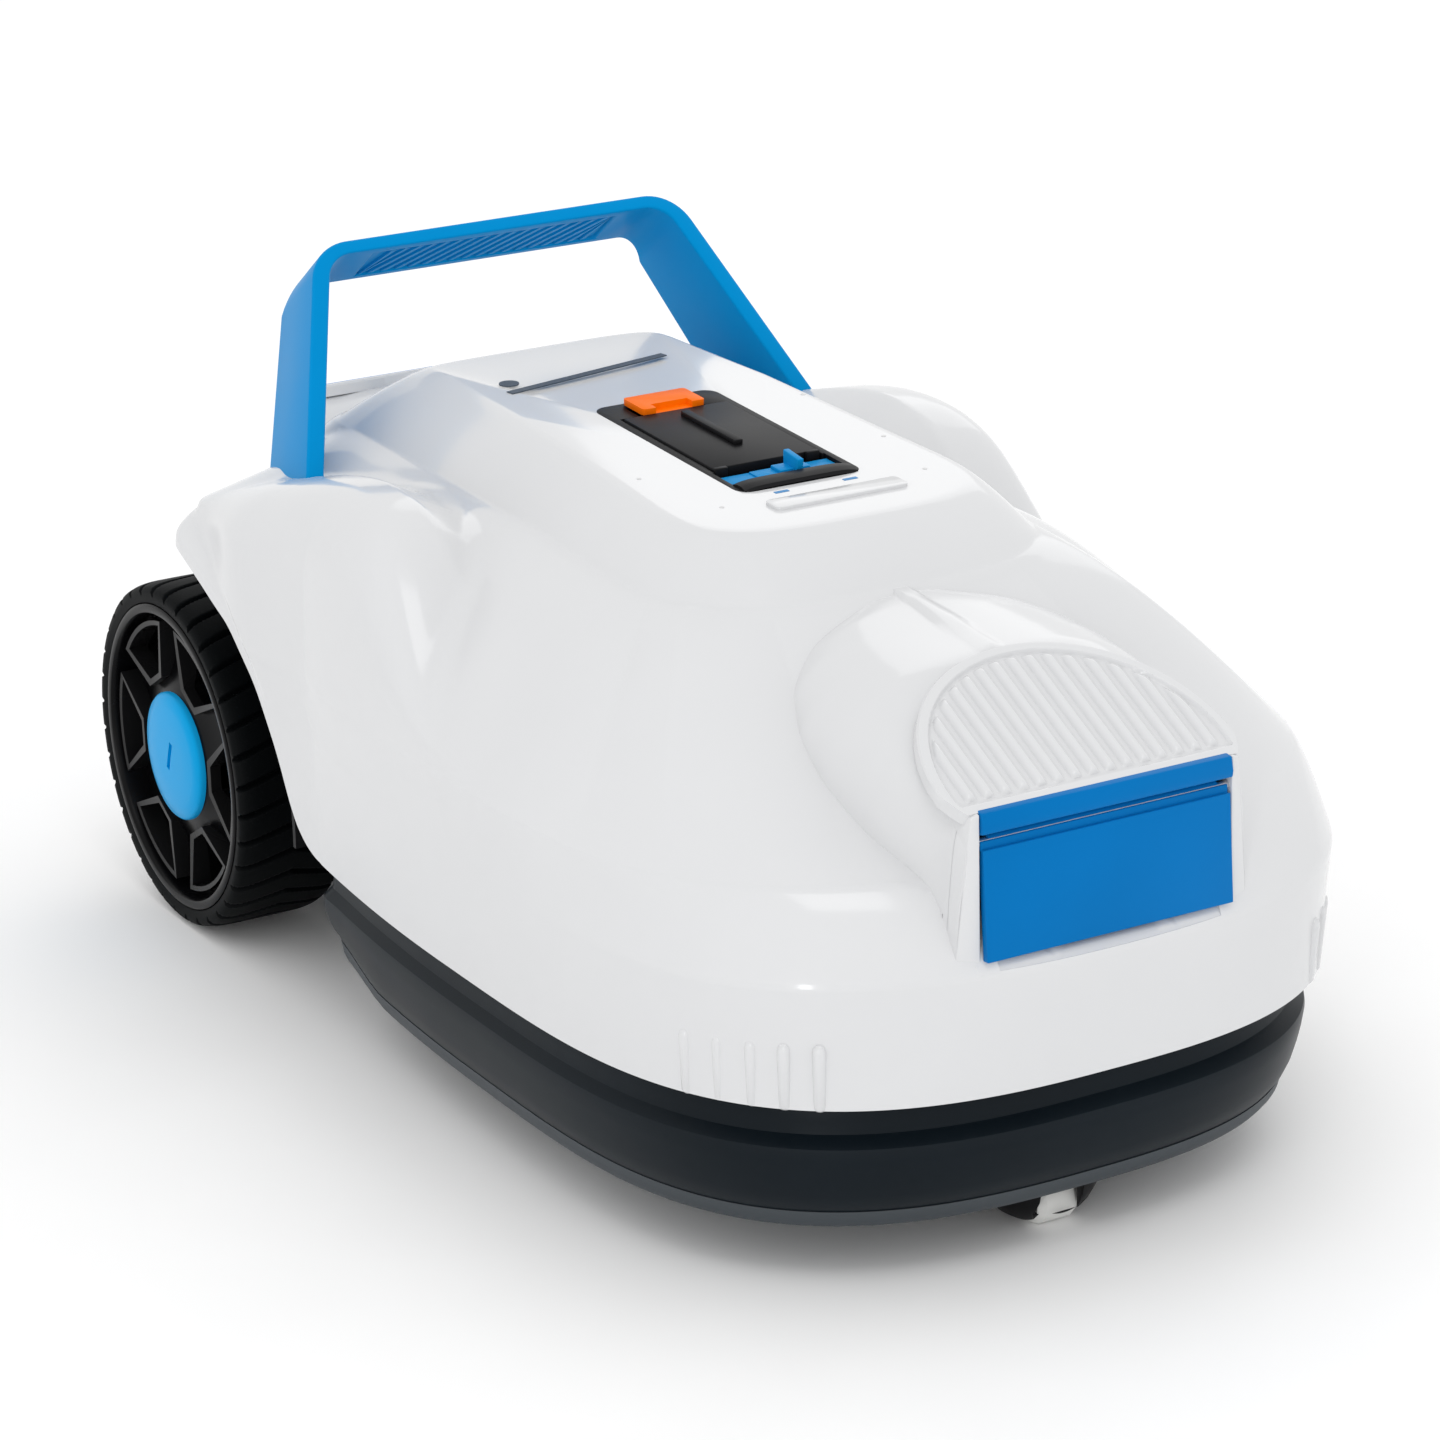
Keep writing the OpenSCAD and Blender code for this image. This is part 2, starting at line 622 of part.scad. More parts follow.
module switch_knob() {
  color(blue) on_panel() union() {
    translate([2.5, -37.4, -0.5]) cube([8, 8.6, 1.6]);
    translate([5.2, -37.2, 1]) cube([2.6, 8, 4.6]);
    translate([4, -33.8, -2]) cube([5, 1.8, 1.8]);
  }
}

module charge_socket() {
  color(steel) on_panel() translate([0, 4, -11]) difference() {
    cylinder(h = 6, r = 7.9);
    translate([0, 0, 2]) cylinder(h = 6, r = 5.5);
  }
}

// ---------- pump, motors, battery ----------
module pump_housing() {
  color(dark) difference() {
    translate([-52, -80, 108]) cube([104, 160, 68]);
    translate([-49, -77, 111]) cube([98, 154, 70]);
    translate([0, -70, 130]) rotate([90, 0, 0]) cylinder(h = 20, r = 6);
    translate([0, 70, 144]) rotate([-90, 0, 0]) cylinder(h = 20, r = 6);
    for (s = [-1, 1]) for (y = [-78.5, 78.5]) translate([s * 50.5, y, 170])
      cylinder(h = 20, r = 0.8);
  }
}

module pump_lid() {
  color(dark) difference() {
    translate([-52, -80, 176.2]) cube([104, 160, 3]);
    for (s = [-1, 1]) for (y = [-78.5, 78.5]) translate([s * 50.5, y, 170])
      cylinder(h = 20, r = 0.8);
  }
}

module lid_screws() {
  color(steel) for (s = [-1, 1]) for (y = [-78.5, 78.5]) translate([s * 50.5, y, 0]) union() {
    translate([0, 0, 179.3]) cylinder(h = 1.4, r = 1.4);
    translate([0, 0, 171]) cylinder(h = 8.4, r = 0.75);
  }
}

module motor(y0, z, s) {
  color(steel) translate([0, y0, z]) rotate([s * -90, 0, 0]) difference() {
    union() {
      cylinder(h = 38, r = 16);
      translate([0, 0, 37.9]) cylinder(h = 1.6, r = 5);
    }
    translate([0, 0, 20]) cylinder(h = 30, r = 2.5 + run_gap);
  }
}
module front_motor() { motor(-36, 130, -1); }
module rear_motor() { motor(36, 144, 1); }

module shaft(y0, z, s) {
  color(steel) translate([0, y0, z]) rotate([s * -90, 0, 0]) translate([0, 0, 20.5])
    cylinder(h = 48.5, r = 2.5);
}
module front_shaft() { shaft(-36, 130, -1); }
module rear_shaft() { shaft(36, 144, 1); }

module impeller(y0, z, s) {
  color(white) translate([0, y0, z]) rotate([s * -90, 0, 0]) difference() {
    union() {
      cylinder(h = 12, r = 7);
      for (k = [0:4]) rotate([0, 0, 72 * k]) translate([5, 0, 6]) rotate([35, 0, 0])
        translate([0, -7, -1]) cube([22, 14, 2]);
    }
    translate([0, 0, -1]) cylinder(h = 12, r = 2.5);
  }
}
module front_impeller() { impeller(-94, 130, -1); }
module rear_impeller() { impeller(94, 144, 1); }

module shaft_seals() {
  color(black) for (q = [[-77, 130, -1], [77, 144, 1]])
    translate([0, q[0], q[1]]) rotate([q[2] * -90, 0, 0]) difference() {
      cylinder(h = 3, r = 6);
      translate([0, 0, -1]) cylinder(h = 6, r = 2.55);
    }
}

module battery_pack() {
  color(flap_blue) for (r = [0:1]) for (c = [0:2])
    translate([-32.5, -12 + 18.8 * c, 120.5 + 18.8 * r]) rotate([0, 90, 0])
      cylinder(h = 65, r = 9.2);
}

module control_board() {
  color(board) union() {
    translate([-40, -74, 154]) cube([80, 44, 1.6]);
    translate([-28, -66, 155.6]) cube([12, 12, 3]);
    translate([6, -64, 155.6]) cube([20, 9, 6]);
    translate([20, -48, 155.6]) cylinder(h = 9, r = 5);
  }
}

// ---------- shell ----------
module top_shell() {
  color(white) difference() {
    union() {
      shell_solid();
      for (s = [-1, 1]) for (q = [[109.6, -172], [105, -183], [99.7, -192.8], [94, -200.8],
        [87.8, -208]]) translate([s * q[0], q[1], 59.5]) cylinder(h = 20.5, r = 2.2, $fn = 16);
    }
    translate([-50.4, -260, 97.2]) cube([100.8, 84, 80]);
    translate([-50.4, 176, 119]) cube([100.8, 84, 80]);
    for (r = [false, true]) at_jet(r) translate([0, -227, 148])
      rotate([r ? tilt_rear : tilt_front, 0, 0]) translate([0, 9, -8]) cylinder(h = 60, r = 51.5);
    for (r = [false, true]) at_jet(r)
      translate([0, -227 + 9 * cos(r ? tilt_rear : tilt_front), 97]) cylinder(h = 75, r = 47.9);
    handle_slots();
    for (s = [-1, 1]) translate([s * 74.5, hub_y, edge_z]) rotate([0, s * 90, 0])
      cylinder(h = 10, r = 14);
    for (s = [-1, 1]) translate([s * 78.6, hub_y, edge_z]) rotate([0, s * 90, 0])
      cylinder(h = 60, r = wheel_r + 3);
  }
}

module handle_slots() {
  intersection() {
    handle_band(0.4, -40);
    translate([-150, 90, 100]) cube([300, 80, 95]);
  }
}

chassis_tub();
bottom_plate();
plate_screws();
shell_seal();
wheel_arch_liners();
left_axle();
right_axle();
filter_tray();
filter_mesh();
tray_clips();
front_inlet_flap();
rear_inlet_flap();
left_tyre();
left_rim();
left_bush();
left_hub_cap();
left_wheel_screw();
right_tyre();
right_rim();
right_bush();
right_hub_cap();
right_wheel_screw();
caster_shroud();
caster_roller();
caster_pin();
top_shell();
handle();
handle_grip();
handle_clamps();
handle_screws();
front_jet_housing();
rear_jet_housing();
front_jet_flap();
rear_jet_flap();
flap_pins();
control_bed();
socket_cover();
release_latch();
switch_plate();
switch_knob();
charge_socket();
pump_housing();
pump_lid();
front_motor();
rear_motor();
front_shaft();
rear_shaft();
front_impeller();
rear_impeller();
shaft_seals();
battery_pack();
control_board();
lid_screws();
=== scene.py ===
"""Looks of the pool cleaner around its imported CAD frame. Lengths are millimetres until obj()."""
import json
import math

import bmesh
import bpy
import numpy as np
from mathutils import Matrix, Vector

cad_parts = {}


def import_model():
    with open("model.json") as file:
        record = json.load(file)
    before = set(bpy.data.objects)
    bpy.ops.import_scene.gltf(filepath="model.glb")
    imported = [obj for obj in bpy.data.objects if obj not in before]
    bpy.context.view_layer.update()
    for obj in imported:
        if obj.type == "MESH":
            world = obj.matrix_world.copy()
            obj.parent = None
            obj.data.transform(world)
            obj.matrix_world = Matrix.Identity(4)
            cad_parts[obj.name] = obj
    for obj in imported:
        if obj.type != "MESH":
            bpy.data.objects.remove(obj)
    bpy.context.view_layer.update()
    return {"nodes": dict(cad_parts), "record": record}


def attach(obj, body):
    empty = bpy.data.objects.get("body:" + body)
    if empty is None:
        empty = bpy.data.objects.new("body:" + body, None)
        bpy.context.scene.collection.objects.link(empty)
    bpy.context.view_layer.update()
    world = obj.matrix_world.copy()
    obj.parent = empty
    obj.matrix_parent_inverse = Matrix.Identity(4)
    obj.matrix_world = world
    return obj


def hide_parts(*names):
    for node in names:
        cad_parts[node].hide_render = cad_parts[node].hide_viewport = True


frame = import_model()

MM = 0.001
PI = math.pi
scene = bpy.context.scene

# ------------------------------------------------------------------ materials


def plastic(name, colour, rough, speck=0.03, grain=900.0, depth=0.02, metal=0.0, coat=0.0,
            rough_var=0.06, wear=0.12, streak=None, gleam=0.4, tint=(1.0, 1.0, 1.0)):
    """Moulded plastic, rubber or metal: mottled colour, uneven gloss, fine grain, paler worn edges."""
    m = bpy.data.materials.new(name)
    m.use_nodes = True
    n, link = m.node_tree.nodes, m.node_tree.links.new
    p = n["Principled BSDF"]
    p.inputs["Metallic"].default_value = metal
    p.inputs["Specular IOR Level"].default_value = gleam
    p.inputs["Specular Tint"].default_value = (*tint, 1)
    p.inputs["Coat Weight"].default_value = coat
    p.inputs["Coat Roughness"].default_value = 0.06
    at = n.new("ShaderNodeTexCoord").outputs["Object"]
    if streak:
        squeeze = n.new("ShaderNodeMapping")
        squeeze.inputs["Scale"].default_value = streak
        link(at, squeeze.inputs["Vector"])
        at = squeeze.outputs["Vector"]

    def noise(scale, detail):
        t = n.new("ShaderNodeTexNoise")
        t.inputs["Scale"].default_value = scale
        t.inputs["Detail"].default_value = detail
        link(at, t.inputs["Vector"])
        return t.outputs["Fac"]

    def spread(fac, low, high, lo_in=0.3, hi_in=0.7):
        r = n.new("ShaderNodeMapRange")
        r.inputs["From Min"].default_value = lo_in
        r.inputs["From Max"].default_value = hi_in
        r.inputs["To Min"].default_value = low
        r.inputs["To Max"].default_value = high
        link(fac, r.inputs["Value"])
        return r.outputs["Result"]

    def mix(fac, a, b):
        x = n.new("ShaderNodeMix")
        x.data_type = "RGBA"
        link(fac, x.inputs["Factor"])
        for socket, c in ((x.inputs[6], a), (x.inputs[7], b)):
            if isinstance(c, tuple):
                socket.default_value = (*c, 1)
            else:
                link(c, socket)
        return x.outputs[2]

    broad, fine = noise(14, 3), noise(grain, 2)
    dark = tuple(c * (1 - speck) for c in colour)
    light = tuple(min(1, c * (1 + speck)) for c in colour)
    body = mix(spread(broad, 0, 1), dark, light)
    if wear:
        edge = n.new("ShaderNodeNewGeometry").outputs["Pointiness"]
        worn = tuple(c + (1 - c) * 0.35 for c in colour)
        body = mix(spread(edge, 0, wear, 0.52, 0.62), body, worn)
    link(body, p.inputs["Base Color"])
    link(spread(broad, max(0.02, rough - rough_var / 2), rough + rough_var), p.inputs["Roughness"])
    bump = n.new("ShaderNodeBump")
    bump.inputs["Strength"].default_value = 0.5
    bump.inputs["Distance"].default_value = depth * MM
    link(fine, bump.inputs["Height"])
    link(bump.outputs["Normal"], p.inputs["Normal"])
    return m


M = {
    "shell_white": plastic("white_gloss", (0.665, 0.67, 0.68), 0.14, 0.012, 160, 0.01, coat=0.25,
                           rough_var=0.03, wear=0.0),
    "handle_blue": plastic("bright_blue", (0.0, 0.25, 0.59), 0.40, 0.04, 1500, 0.03, wear=0.02,
                           gleam=0.12, tint=(0.1, 0.6, 1.0)),
    "flap_blue": plastic("deep_blue", (0.0, 0.15, 0.44), 0.36, 0.05, 1300, 0.03, wear=0.02,
                         gleam=0.12, tint=(0.1, 0.6, 1.0)),
    "control_black": plastic("satin_black", (0.004, 0.004, 0.005), 0.42, 0.15, 1800, 0.04, gleam=0.12,
                             wear=0.02),
    "latch_orange": plastic("orange", (0.92, 0.16, 0.0), 0.38, 0.04, 1500, 0.02, wear=0.02, gleam=0.12,
                            tint=(1.0, 0.5, 0.1)),
    "base_dark": plastic("slate", (0.005, 0.009, 0.013), 0.34, 0.12, 1500, 0.03, gleam=0.11, wear=0.02),
    "plate_grey": plastic("mid_grey", (0.035, 0.044, 0.052), 0.45, 0.08, 1400, 0.03, gleam=0.2),
    "tread_rubber": plastic("tread_rubber", (0.0022, 0.003, 0.0035), 0.55, 0.2, 1100, 0.10,
                            rough_var=0.14, gleam=0.06, wear=0.01),
    "rim_black": plastic("rim_black", (0.002, 0.002, 0.0025), 0.26, 0.12, 1600, 0.03, gleam=0.12,
                         wear=0.02),
    "nylon_white": plastic("nylon", (0.72, 0.72, 0.70), 0.42, 0.03, 1400, 0.02),
    "mesh_nylon": plastic("filter_cloth", (0.70, 0.71, 0.71), 0.8, 0.06, 2600, 0.25),
    "seal_rubber": plastic("seal_rubber", (0.015, 0.015, 0.015), 0.7, 0.2, 1200, 0.06),
    "steel": plastic("brushed_steel", (0.55, 0.56, 0.58), 0.28, 0.05, 500, 0.02, metal=1.0,
                     streak=(1, 14, 1)),
    "board_green": plastic("board_green", (0.02, 0.16, 0.07), 0.4, 0.15, 700, 0.05),
    # brighter copy of the handle blue for the wheel caps: painted light, making up for the sideways caps
    # catching less lamp light
    "cap_blue": plastic("cap_blue", (0.0, 0.33, 0.70), 0.33, 0.04, 1400, 0.03, wear=0.02, gleam=0.15,
                        tint=(0.2, 0.7, 1.0)),
    # painted shade: grey standing in for how the shallow sink dimples over the screw bosses catch the light
    "sink_mark": plastic("sink_mark", (0.60, 0.60, 0.60), 0.4, 0.05, 900, 0.02),
    "print_navy": plastic("print_navy", (0.01, 0.03, 0.06), 0.5, 0.1, 900, 0.01),
    "print_blue": plastic("print_blue", (0.02, 0.22, 0.52), 0.5, 0.1, 900, 0.01),
}

for part in frame["record"]["subparts"]:
    node = frame["nodes"][part["node"]]
    node.data.materials.clear()
    node.data.materials.append(M[part["material_slot"]])

# ------------------------------------------------------------------ mesh helpers


def obj(name, verts, faces, body, slot, replaces=(), angle=32, bevel=0.0, segs=2, thick=0.0,
        paint=None, cuts=()):
    """One piece, from millimetre vertices, riding on its CAD body."""
    me = bpy.data.meshes.new(name)
    me.from_pydata((np.asarray(verts, float) * MM).tolist(), [], [list(map(int, f)) for f in faces])
    b = bmesh.new()
    b.from_mesh(me)
    bmesh.ops.remove_doubles(b, verts=b.verts, dist=1e-6)
    bmesh.ops.recalc_face_normals(b, faces=b.faces)
    b.to_mesh(me)
    b.free()
    o = bpy.data.objects.new(name, me)
    scene.collection.objects.link(o)
    me.materials.append(M[paint or slot])
    if thick:
        s = o.modifiers.new("wall", "SOLIDIFY")
        s.thickness, s.offset = thick * MM, -1
    for cv, cf in cuts:
        tool = bpy.data.meshes.new("cut")
        tool.from_pydata((np.asarray(cv, float) * MM).tolist(), [], [list(map(int, f)) for f in cf])
        b = bmesh.new()
        b.from_mesh(tool)
        bmesh.ops.recalc_face_normals(b, faces=b.faces)
        b.to_mesh(tool)
        b.free()
        t = bpy.data.objects.new("cut", tool)
        scene.collection.objects.link(t)
        m = o.modifiers.new("cut", "BOOLEAN")
        m.operation, m.solver, m.object = "DIFFERENCE", "EXACT", t
    if bevel:
        v = o.modifiers.new("edges", "BEVEL")
        v.width, v.segments, v.limit_method, v.angle_limit = bevel * MM, segs, "ANGLE", 0.6
        v.use_clamp_overlap = True
    done = bpy.data.meshes.new_from_object(o.evaluated_get(bpy.context.evaluated_depsgraph_get()))
    for m in list(o.modifiers):
        t = getattr(m, "object", None)
        o.modifiers.remove(m)
        if t:
            bpy.data.objects.remove(t)
    o.data = done
    done.name = name
    for f in done.polygons:
        f.use_smooth = True
    done.set_sharp_from_angle(angle=math.radians(angle))
    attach(o, body)
    if replaces:
        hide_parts(*replaces)
    return o


def grid(p, close_u=False, close_v=False):
    """Faces of an (nu, nv, 3) grid of points."""
    nu, nv = p.shape[:2]
    fs = []
    for i in range(nu if close_u else nu - 1):
        for j in range(nv if close_v else nv - 1):
            a, b = i * nv + j, ((i + 1) % nu) * nv + j
            c, d = ((i + 1) % nu) * nv + (j + 1) % nv, i * nv + (j + 1) % nv
            fs.append((a, b, c, d))
    return fs


def loft(p):
    """A closed solid through the rings p[i], with flat ends."""
    nu, nv = p.shape[:2]
    fs = grid(p, False, True)
    fs.append(tuple(range(nv)))
    fs.append(tuple((nu - 1) * nv + j for j in range(nv)))
    return p.reshape(-1, 3), fs


def join(*parts):
    """Several (verts, faces) as one."""
    vs, fs, base = [], [], 0
    for v, f in parts:
        v = np.asarray(v, float)
        vs.append(v)
        fs += [tuple(int(k) + base for k in q) for q in f]
        base += len(v)
    return np.concatenate(vs), fs


def prism(outline, z0, z1, mat=None):
    o = np.asarray(outline, float)
    rings = np.stack([np.c_[o, np.full(len(o), z)] for z in (z0, z1)])
    v, f = loft(rings)
    return moved(v, mat), f


def moved(v, mat):
    if mat is None:
        return np.asarray(v, float)
    m = np.array(mat)
    return np.asarray(v, float) @ m[:3, :3].T + m[:3, 3]


def box(lo, hi, mat=None):
    (a, b, c), (d, e, g) = lo, hi
    return prism([(a, b), (d, b), (d, e), (a, e)], c, g, mat)


def turn(profile, n, mat=None):
    """Surface of revolution about z of a closed (r, z) profile."""
    t = np.linspace(0, 2 * PI, n, endpoint=False)
    pr = np.asarray(profile, float)
    p = np.stack([np.stack([pr[:, 0] * math.cos(a), pr[:, 0] * math.sin(a), pr[:, 1]], 1) for a in t])
    return moved(p.reshape(-1, 3), mat), grid(p, True, True)


def disc_line(r, n, cx=0.0, cy=0.0):
    """Round outline."""
    return [(cx + r * math.cos(a), cy + r * math.sin(a)) for a in np.linspace(0, 2 * PI, n, endpoint=False)]


def rrect(a, b, r, k=6, cx=0.0, cy=0.0):
    """Rounded rectangle outline with half sizes a, b."""
    out = []
    for q, (sx, sy) in enumerate(((1, 1), (-1, 1), (-1, -1), (1, -1))):
        for i in range(k + 1):
            t = PI / 2 * (q + i / k)
            out.append((cx + sx * (a - r) + r * math.cos(t), cy + sy * (b - r) + r * math.sin(t)))
    return out


def place(x=0.0, y=0.0, z=0.0, rx=0.0, ry=0.0, rz=0.0):
    return (Matrix.Translation((x, y, z)) @ Matrix.Rotation(math.radians(rz), 4, "Z")
            @ Matrix.Rotation(math.radians(ry), 4, "Y") @ Matrix.Rotation(math.radians(rx), 4, "X"))


# turn a flat outline drawn in (y, z) to run along x, and one drawn in (x, z) to run along y
ALONG_X = Matrix(((0, 0, 1, 0), (1, 0, 0, 0), (0, 1, 0, 0), (0, 0, 0, 1)))
ALONG_Y = Matrix(((1, 0, 0, 0), (0, 0, 1, 0), (0, 1, 0, 0), (0, 0, 0, 1)))
HUB_Y, HUB_Z, WR, WW = 174.3, 62.0, 62.0, 41.0  # wheel centre, radius and width


def step(a, b, x):
    """0 below a, 1 above b, smooth between."""
    t = np.clip((x - a) / (b - a), 0, 1)
    return t * t * (3 - 2 * t)


def lerp(a, b, t):
    return a + (b - a) * t


def pw(v, e):
    return np.power(np.maximum(v, 0), e)


def smax(a, b, k):
    """Maximum with a blend of width k."""
    h = np.maximum(k - np.abs(a - b), 0) / k
    return np.maximum(a, b) + h * h * k / 4


# ------------------------------------------------------------------ shell loops, right half, nose to tail
NN, NS, NR = 130, 130, 40
I = np.arange(NN + NS + NR + 1)
REG = np.where(I <= NN, 0, np.where(I <= NN + NS, 1, 2))
PHI = np.clip(I / NN, 0, 1) * PI / 2
G = np.clip((I - NN) / NS, 0, 1)
PSI = np.clip((I - NN - NS) / NR, 0, 1) * PI / 2
ONE = np.ones(len(I))
SIDE_END = 168.0


def nose(w, ln, ex, ey, y0=-60.0):
    return w * pw(np.sin(PHI), ex), y0 - ln * pw(np.cos(PHI), ey)


def tail(w, y0, ln, e):
    return w * pw(np.cos(PSI), e), y0 + ln * pw(np.sin(PSI), e)


def loop(nose_pts, side_pts, tail_pts):
    return np.stack([np.where(REG == 0, nose_pts[k], np.where(REG == 1, side_pts[k], tail_pts[k]))
                     for k in range(3)], 1)


def side_x(y):
    return (127 - 5.5 * np.clip((y + 48) / 98, 0, 1) ** 2 + 5 * step(50, 120, y)
            - 48.5 * pw(step(140, SIDE_END, y), 1.5))


ARCH = [(50, 62), (56, 63.5), (62, 67), (68, 74), (76, 93), (88, 114), (104, 131), (120, 139),
        (134, 145), (148, 151), (160, 155), (168, 157)]


def arch_z(y):
    ay, az = np.array(ARCH, float).T
    smooth = sum(np.interp(y + d, ay, az) for d in (-3, -1.5, 0, 1.5, 3)) / 5
    return np.where(y < 47, 62.0, smooth)


def top_z(y):
    return (198.5 + 0.055 * (np.minimum(y, 40) + 75) + 0.02 * np.maximum(np.minimum(y, 100) - 40, 0)
            - 0.004 * np.maximum(y - 95, 0) ** 2)


nx, ny = nose(127, 184, 0.749, 0.525, -48)
tx, ty = tail(78, 170, 47, 0.4)
SY = lerp(-48, SIDE_END, G)
L = loop((nx, ny, 62 * ONE), (side_x(SY), SY, arch_z(SY)), (tx, ty, 62 * ONE))
nx, ny = nose(127, 173.6, 0.891, 0.45, -61)
tx, ty = tail(77, 169, 46, 0.4)
SY = lerp(-61, SIDE_END, G)
C = loop((nx, ny, 100.5 * ONE),
         (side_x(SY), SY - 1, np.maximum(100.5 + 5 * step(-60, 76, SY), arch_z(SY) + 4)),
         (tx, ty, 96 * ONE))
nx, ny = nose(127, 169.3, 0.826, 0.51, -45.4)
tx, ty = tail(74, 168, 44, 0.45)
SY = lerp(-45.4, SIDE_END, G)
B = loop((nx, ny, 125.8 * ONE),
         (np.minimum(side_x(SY) + 2 * step(-20, 50, SY) - 9 * step(92, 140, SY), 126.9), SY - 2 * G,
          np.maximum(125.8, arch_z(SY) + 9)), (tx, ty, 128 * ONE))
nx, ny = nose(70, 58, 0.625, 0.625)
tx, ty = tail(66, 128, 26, 0.6)
A = loop((nx, ny, 180.5 - pw(np.cos(PHI), 4)),
         (lerp(70, 66, step(0, 0.3, G)), lerp(-60, 128, G), lerp(180.5, 184, G)),
         (tx, ty, 184 * ONE))
nx, ny = nose(52, 37, 0.6, 0.6)
tx, ty = tail(43, 98, 22, 0.5)
T = loop((nx, ny, 0 * ONE), (lerp(52, 43, G), lerp(-60, 98, G), 0 * ONE), (tx, ty, 0 * ONE))
T[:, 2] = top_z(T[:, 1])
BAY_X, BAY_F, BAY_R = 22.4, -62.0, 33.8
nx = BAY_X * pw(np.sin(PHI), 0.25)
O = loop((nx, -50 + (BAY_F + 50) * pw(np.cos(PHI), 0.25), 0 * ONE),
         (BAY_X * ONE, lerp(-50, 22, G), 0 * ONE),
         (BAY_X * pw(np.cos(PSI), 0.25), 22 + (BAY_R - 22) * pw(np.sin(PSI), 0.25), 0 * ONE))
O[:, 2] = top_z(O[:, 1])

CREST = [(-60, 118), (-32, 144), (-14, 163), (-2, 178), (14, 188.5), (40, 191), (64, 187.5), (87, 181.5),
         (106, 176.5), (125, 171), (140, 166), (155, 158), (168, 150)]  # wheel pods, (y, z)


def crest(y):
    cy, cz = np.array(CREST, float).T
    return sum(np.interp(y + d, cy, cz) for d in (-10, -6, -2, 2, 6, 10)) / 6


def pod(x, y, xb, zb):
    inward = 0.5 * np.maximum(94 - np.abs(x), 0)
    u = np.clip((np.abs(x) - 94) / np.maximum(xb - 94, 8), 0, 1)
    return zb + (crest(y) - inward - zb) * pw(1 - u ** 3.4, 0.3)


SWELL = ((28, 60, 74, 84, 90), (0.95, 1.42, 1.22, 1.5, 1.6))  # angle round the nose, power


def upper(t):
    """Surface between the upper crease A and the shoulder crease B, t (n, k)."""
    a, b = A[:, None, :], B[:, None, :]
    x, y = lerp(a[..., 0], b[..., 0], t), lerp(a[..., 1], b[..., 1], t)
    turn_deg = np.where(REG == 0, PHI * 180 / PI, 90.0)[:, None]
    power = np.interp(turn_deg, *SWELL) - 0.2 * step(60, 118, y)
    s = b[..., 2] + (a[..., 2] - b[..., 2]) * (1 - pw(t, power))
    z = smax(s, pod(x, y, b[..., 0], b[..., 2]), 8)
    z = lerp(a[..., 2], z, step(0, 0.03, t))
    return np.stack([x, y, np.where(t > 0.999, b[..., 2], z)], -1)


def between(p, q, ez):
    def f(t):
        r = lerp(p[:, None, :], q[:, None, :], t[..., None])
        r[..., 2] = lerp(p[:, 2][:, None], q[:, 2][:, None], pw(t, ez))
        return r
    return f


def fillet(p, c, q, k=3):
    t = (np.arange(1, k + 1) / (k + 1))[None, :, None]
    p, c, q = p[:, None, :], c[:, None, :], q[:, None, :]
    return (1 - t) ** 2 * p + 2 * t * (1 - t) * c + t * t * q


def shell_rows():
    spans = [(O, T, between(O, T, 1), 5, 0, 2.2), (T, A, between(T, A, 1.22), 10, 2.2, 1.6),
             (A, B, upper, 40, 1.6, 2.0), (B, C, between(B, C, 1.45), 9, 2.0, 1.4),
             (C, L, between(C, L, 1), 7, 1.4, 0)]
    out = []
    for k, (p, q, f, n, r0, r1) in enumerate(spans):
        ln = np.maximum(np.linalg.norm(q - p, axis=1), 4)[:, None]
        t0, t1 = r0 / ln, 1 - r1 / ln
        seg = f(t0 + (t1 - t0) * np.linspace(0, 1, n)[None, :])
        if out:
            out.append(fillet(out[-1][:, -1], p, seg[:, 0]))
        out.append(seg)
    return np.concatenate(out, 1)


def both(half):
    m = half[1:-1][::-1] * np.array([-1, 1, 1])
    return np.concatenate([half, m])


skin = both(shell_rows())
faces = []
flat = skin.reshape(-1, 3)
for f in grid(skin, close_u=True):
    q = flat[list(f)]
    x, y, z = np.abs(q[:, 0]).max(), q[:, 1], q[:, 2].min()
    if x < 40 and y.max() < -176 and z > 101 or x < 40 and y.min() > 178 and z > 122:
        continue
    faces.append(f)
obj("shell_skin", flat, faces, "upper", "shell_white", ["top_shell"], angle=50, thick=2.6)

# ------------------------------------------------------------------ jets
HINGE_Y, HINGE_Z = -226.0, 139.5
REAR = place(0, 0, 22, rz=180)
MOUTH = 43.8


def front_y(z):
    """Front edge of a jet's side posts, which lean back towards the shoulder below."""
    return -228.6 + (149 - z) * 0.05


def jet_fairing(name, at, stations, rib):
    """Raised skin round a jet: cross-sections (y, half width, crown z, low z, p, q)."""
    st = np.array(stations, float)
    ys = np.concatenate([np.linspace(st[0, 0], -222, 80), np.linspace(-221.5, st[-1, 0], 8)])
    w, zc, zl, p, q = (np.interp(ys, st[::-1, 0], st[::-1, k]) for k in range(1, 6))
    kern = np.array([1, 2, 3, 2, 1]) / 9.0

    def soft(a):
        b = np.pad(a, 2, mode="edge")
        return np.convolve(b, kern, "valid")
    w, zc, zl, p, q = map(soft, (w, zc, zl, p, q))
    around = np.linspace(0, PI, 181)[None, :]
    x = -np.sign(np.cos(around)) * np.abs(np.cos(around)) ** (2 / p[:, None]) * w[:, None]
    z = zl[:, None] + (zc - zl)[:, None] * pw(np.sin(around), 2 / q[:, None])
    x = x * (1 - 0.092 * np.clip((z - 97) / 51, 0, 1) * step(-190, -220, ys)[:, None])
    if rib:
        z += 1.3 * (1 - step(2.6, 3.6, np.abs(x))) * (1 - step(-168, -172, ys))[:, None]
    yy = np.maximum(ys[:, None], front_y(z))
    top = np.stack([x, yy, z], -1)
    obj(name, moved(top.reshape(-1, 3), at), grid(top), "upper", "shell_white", angle=50, thick=2.4)


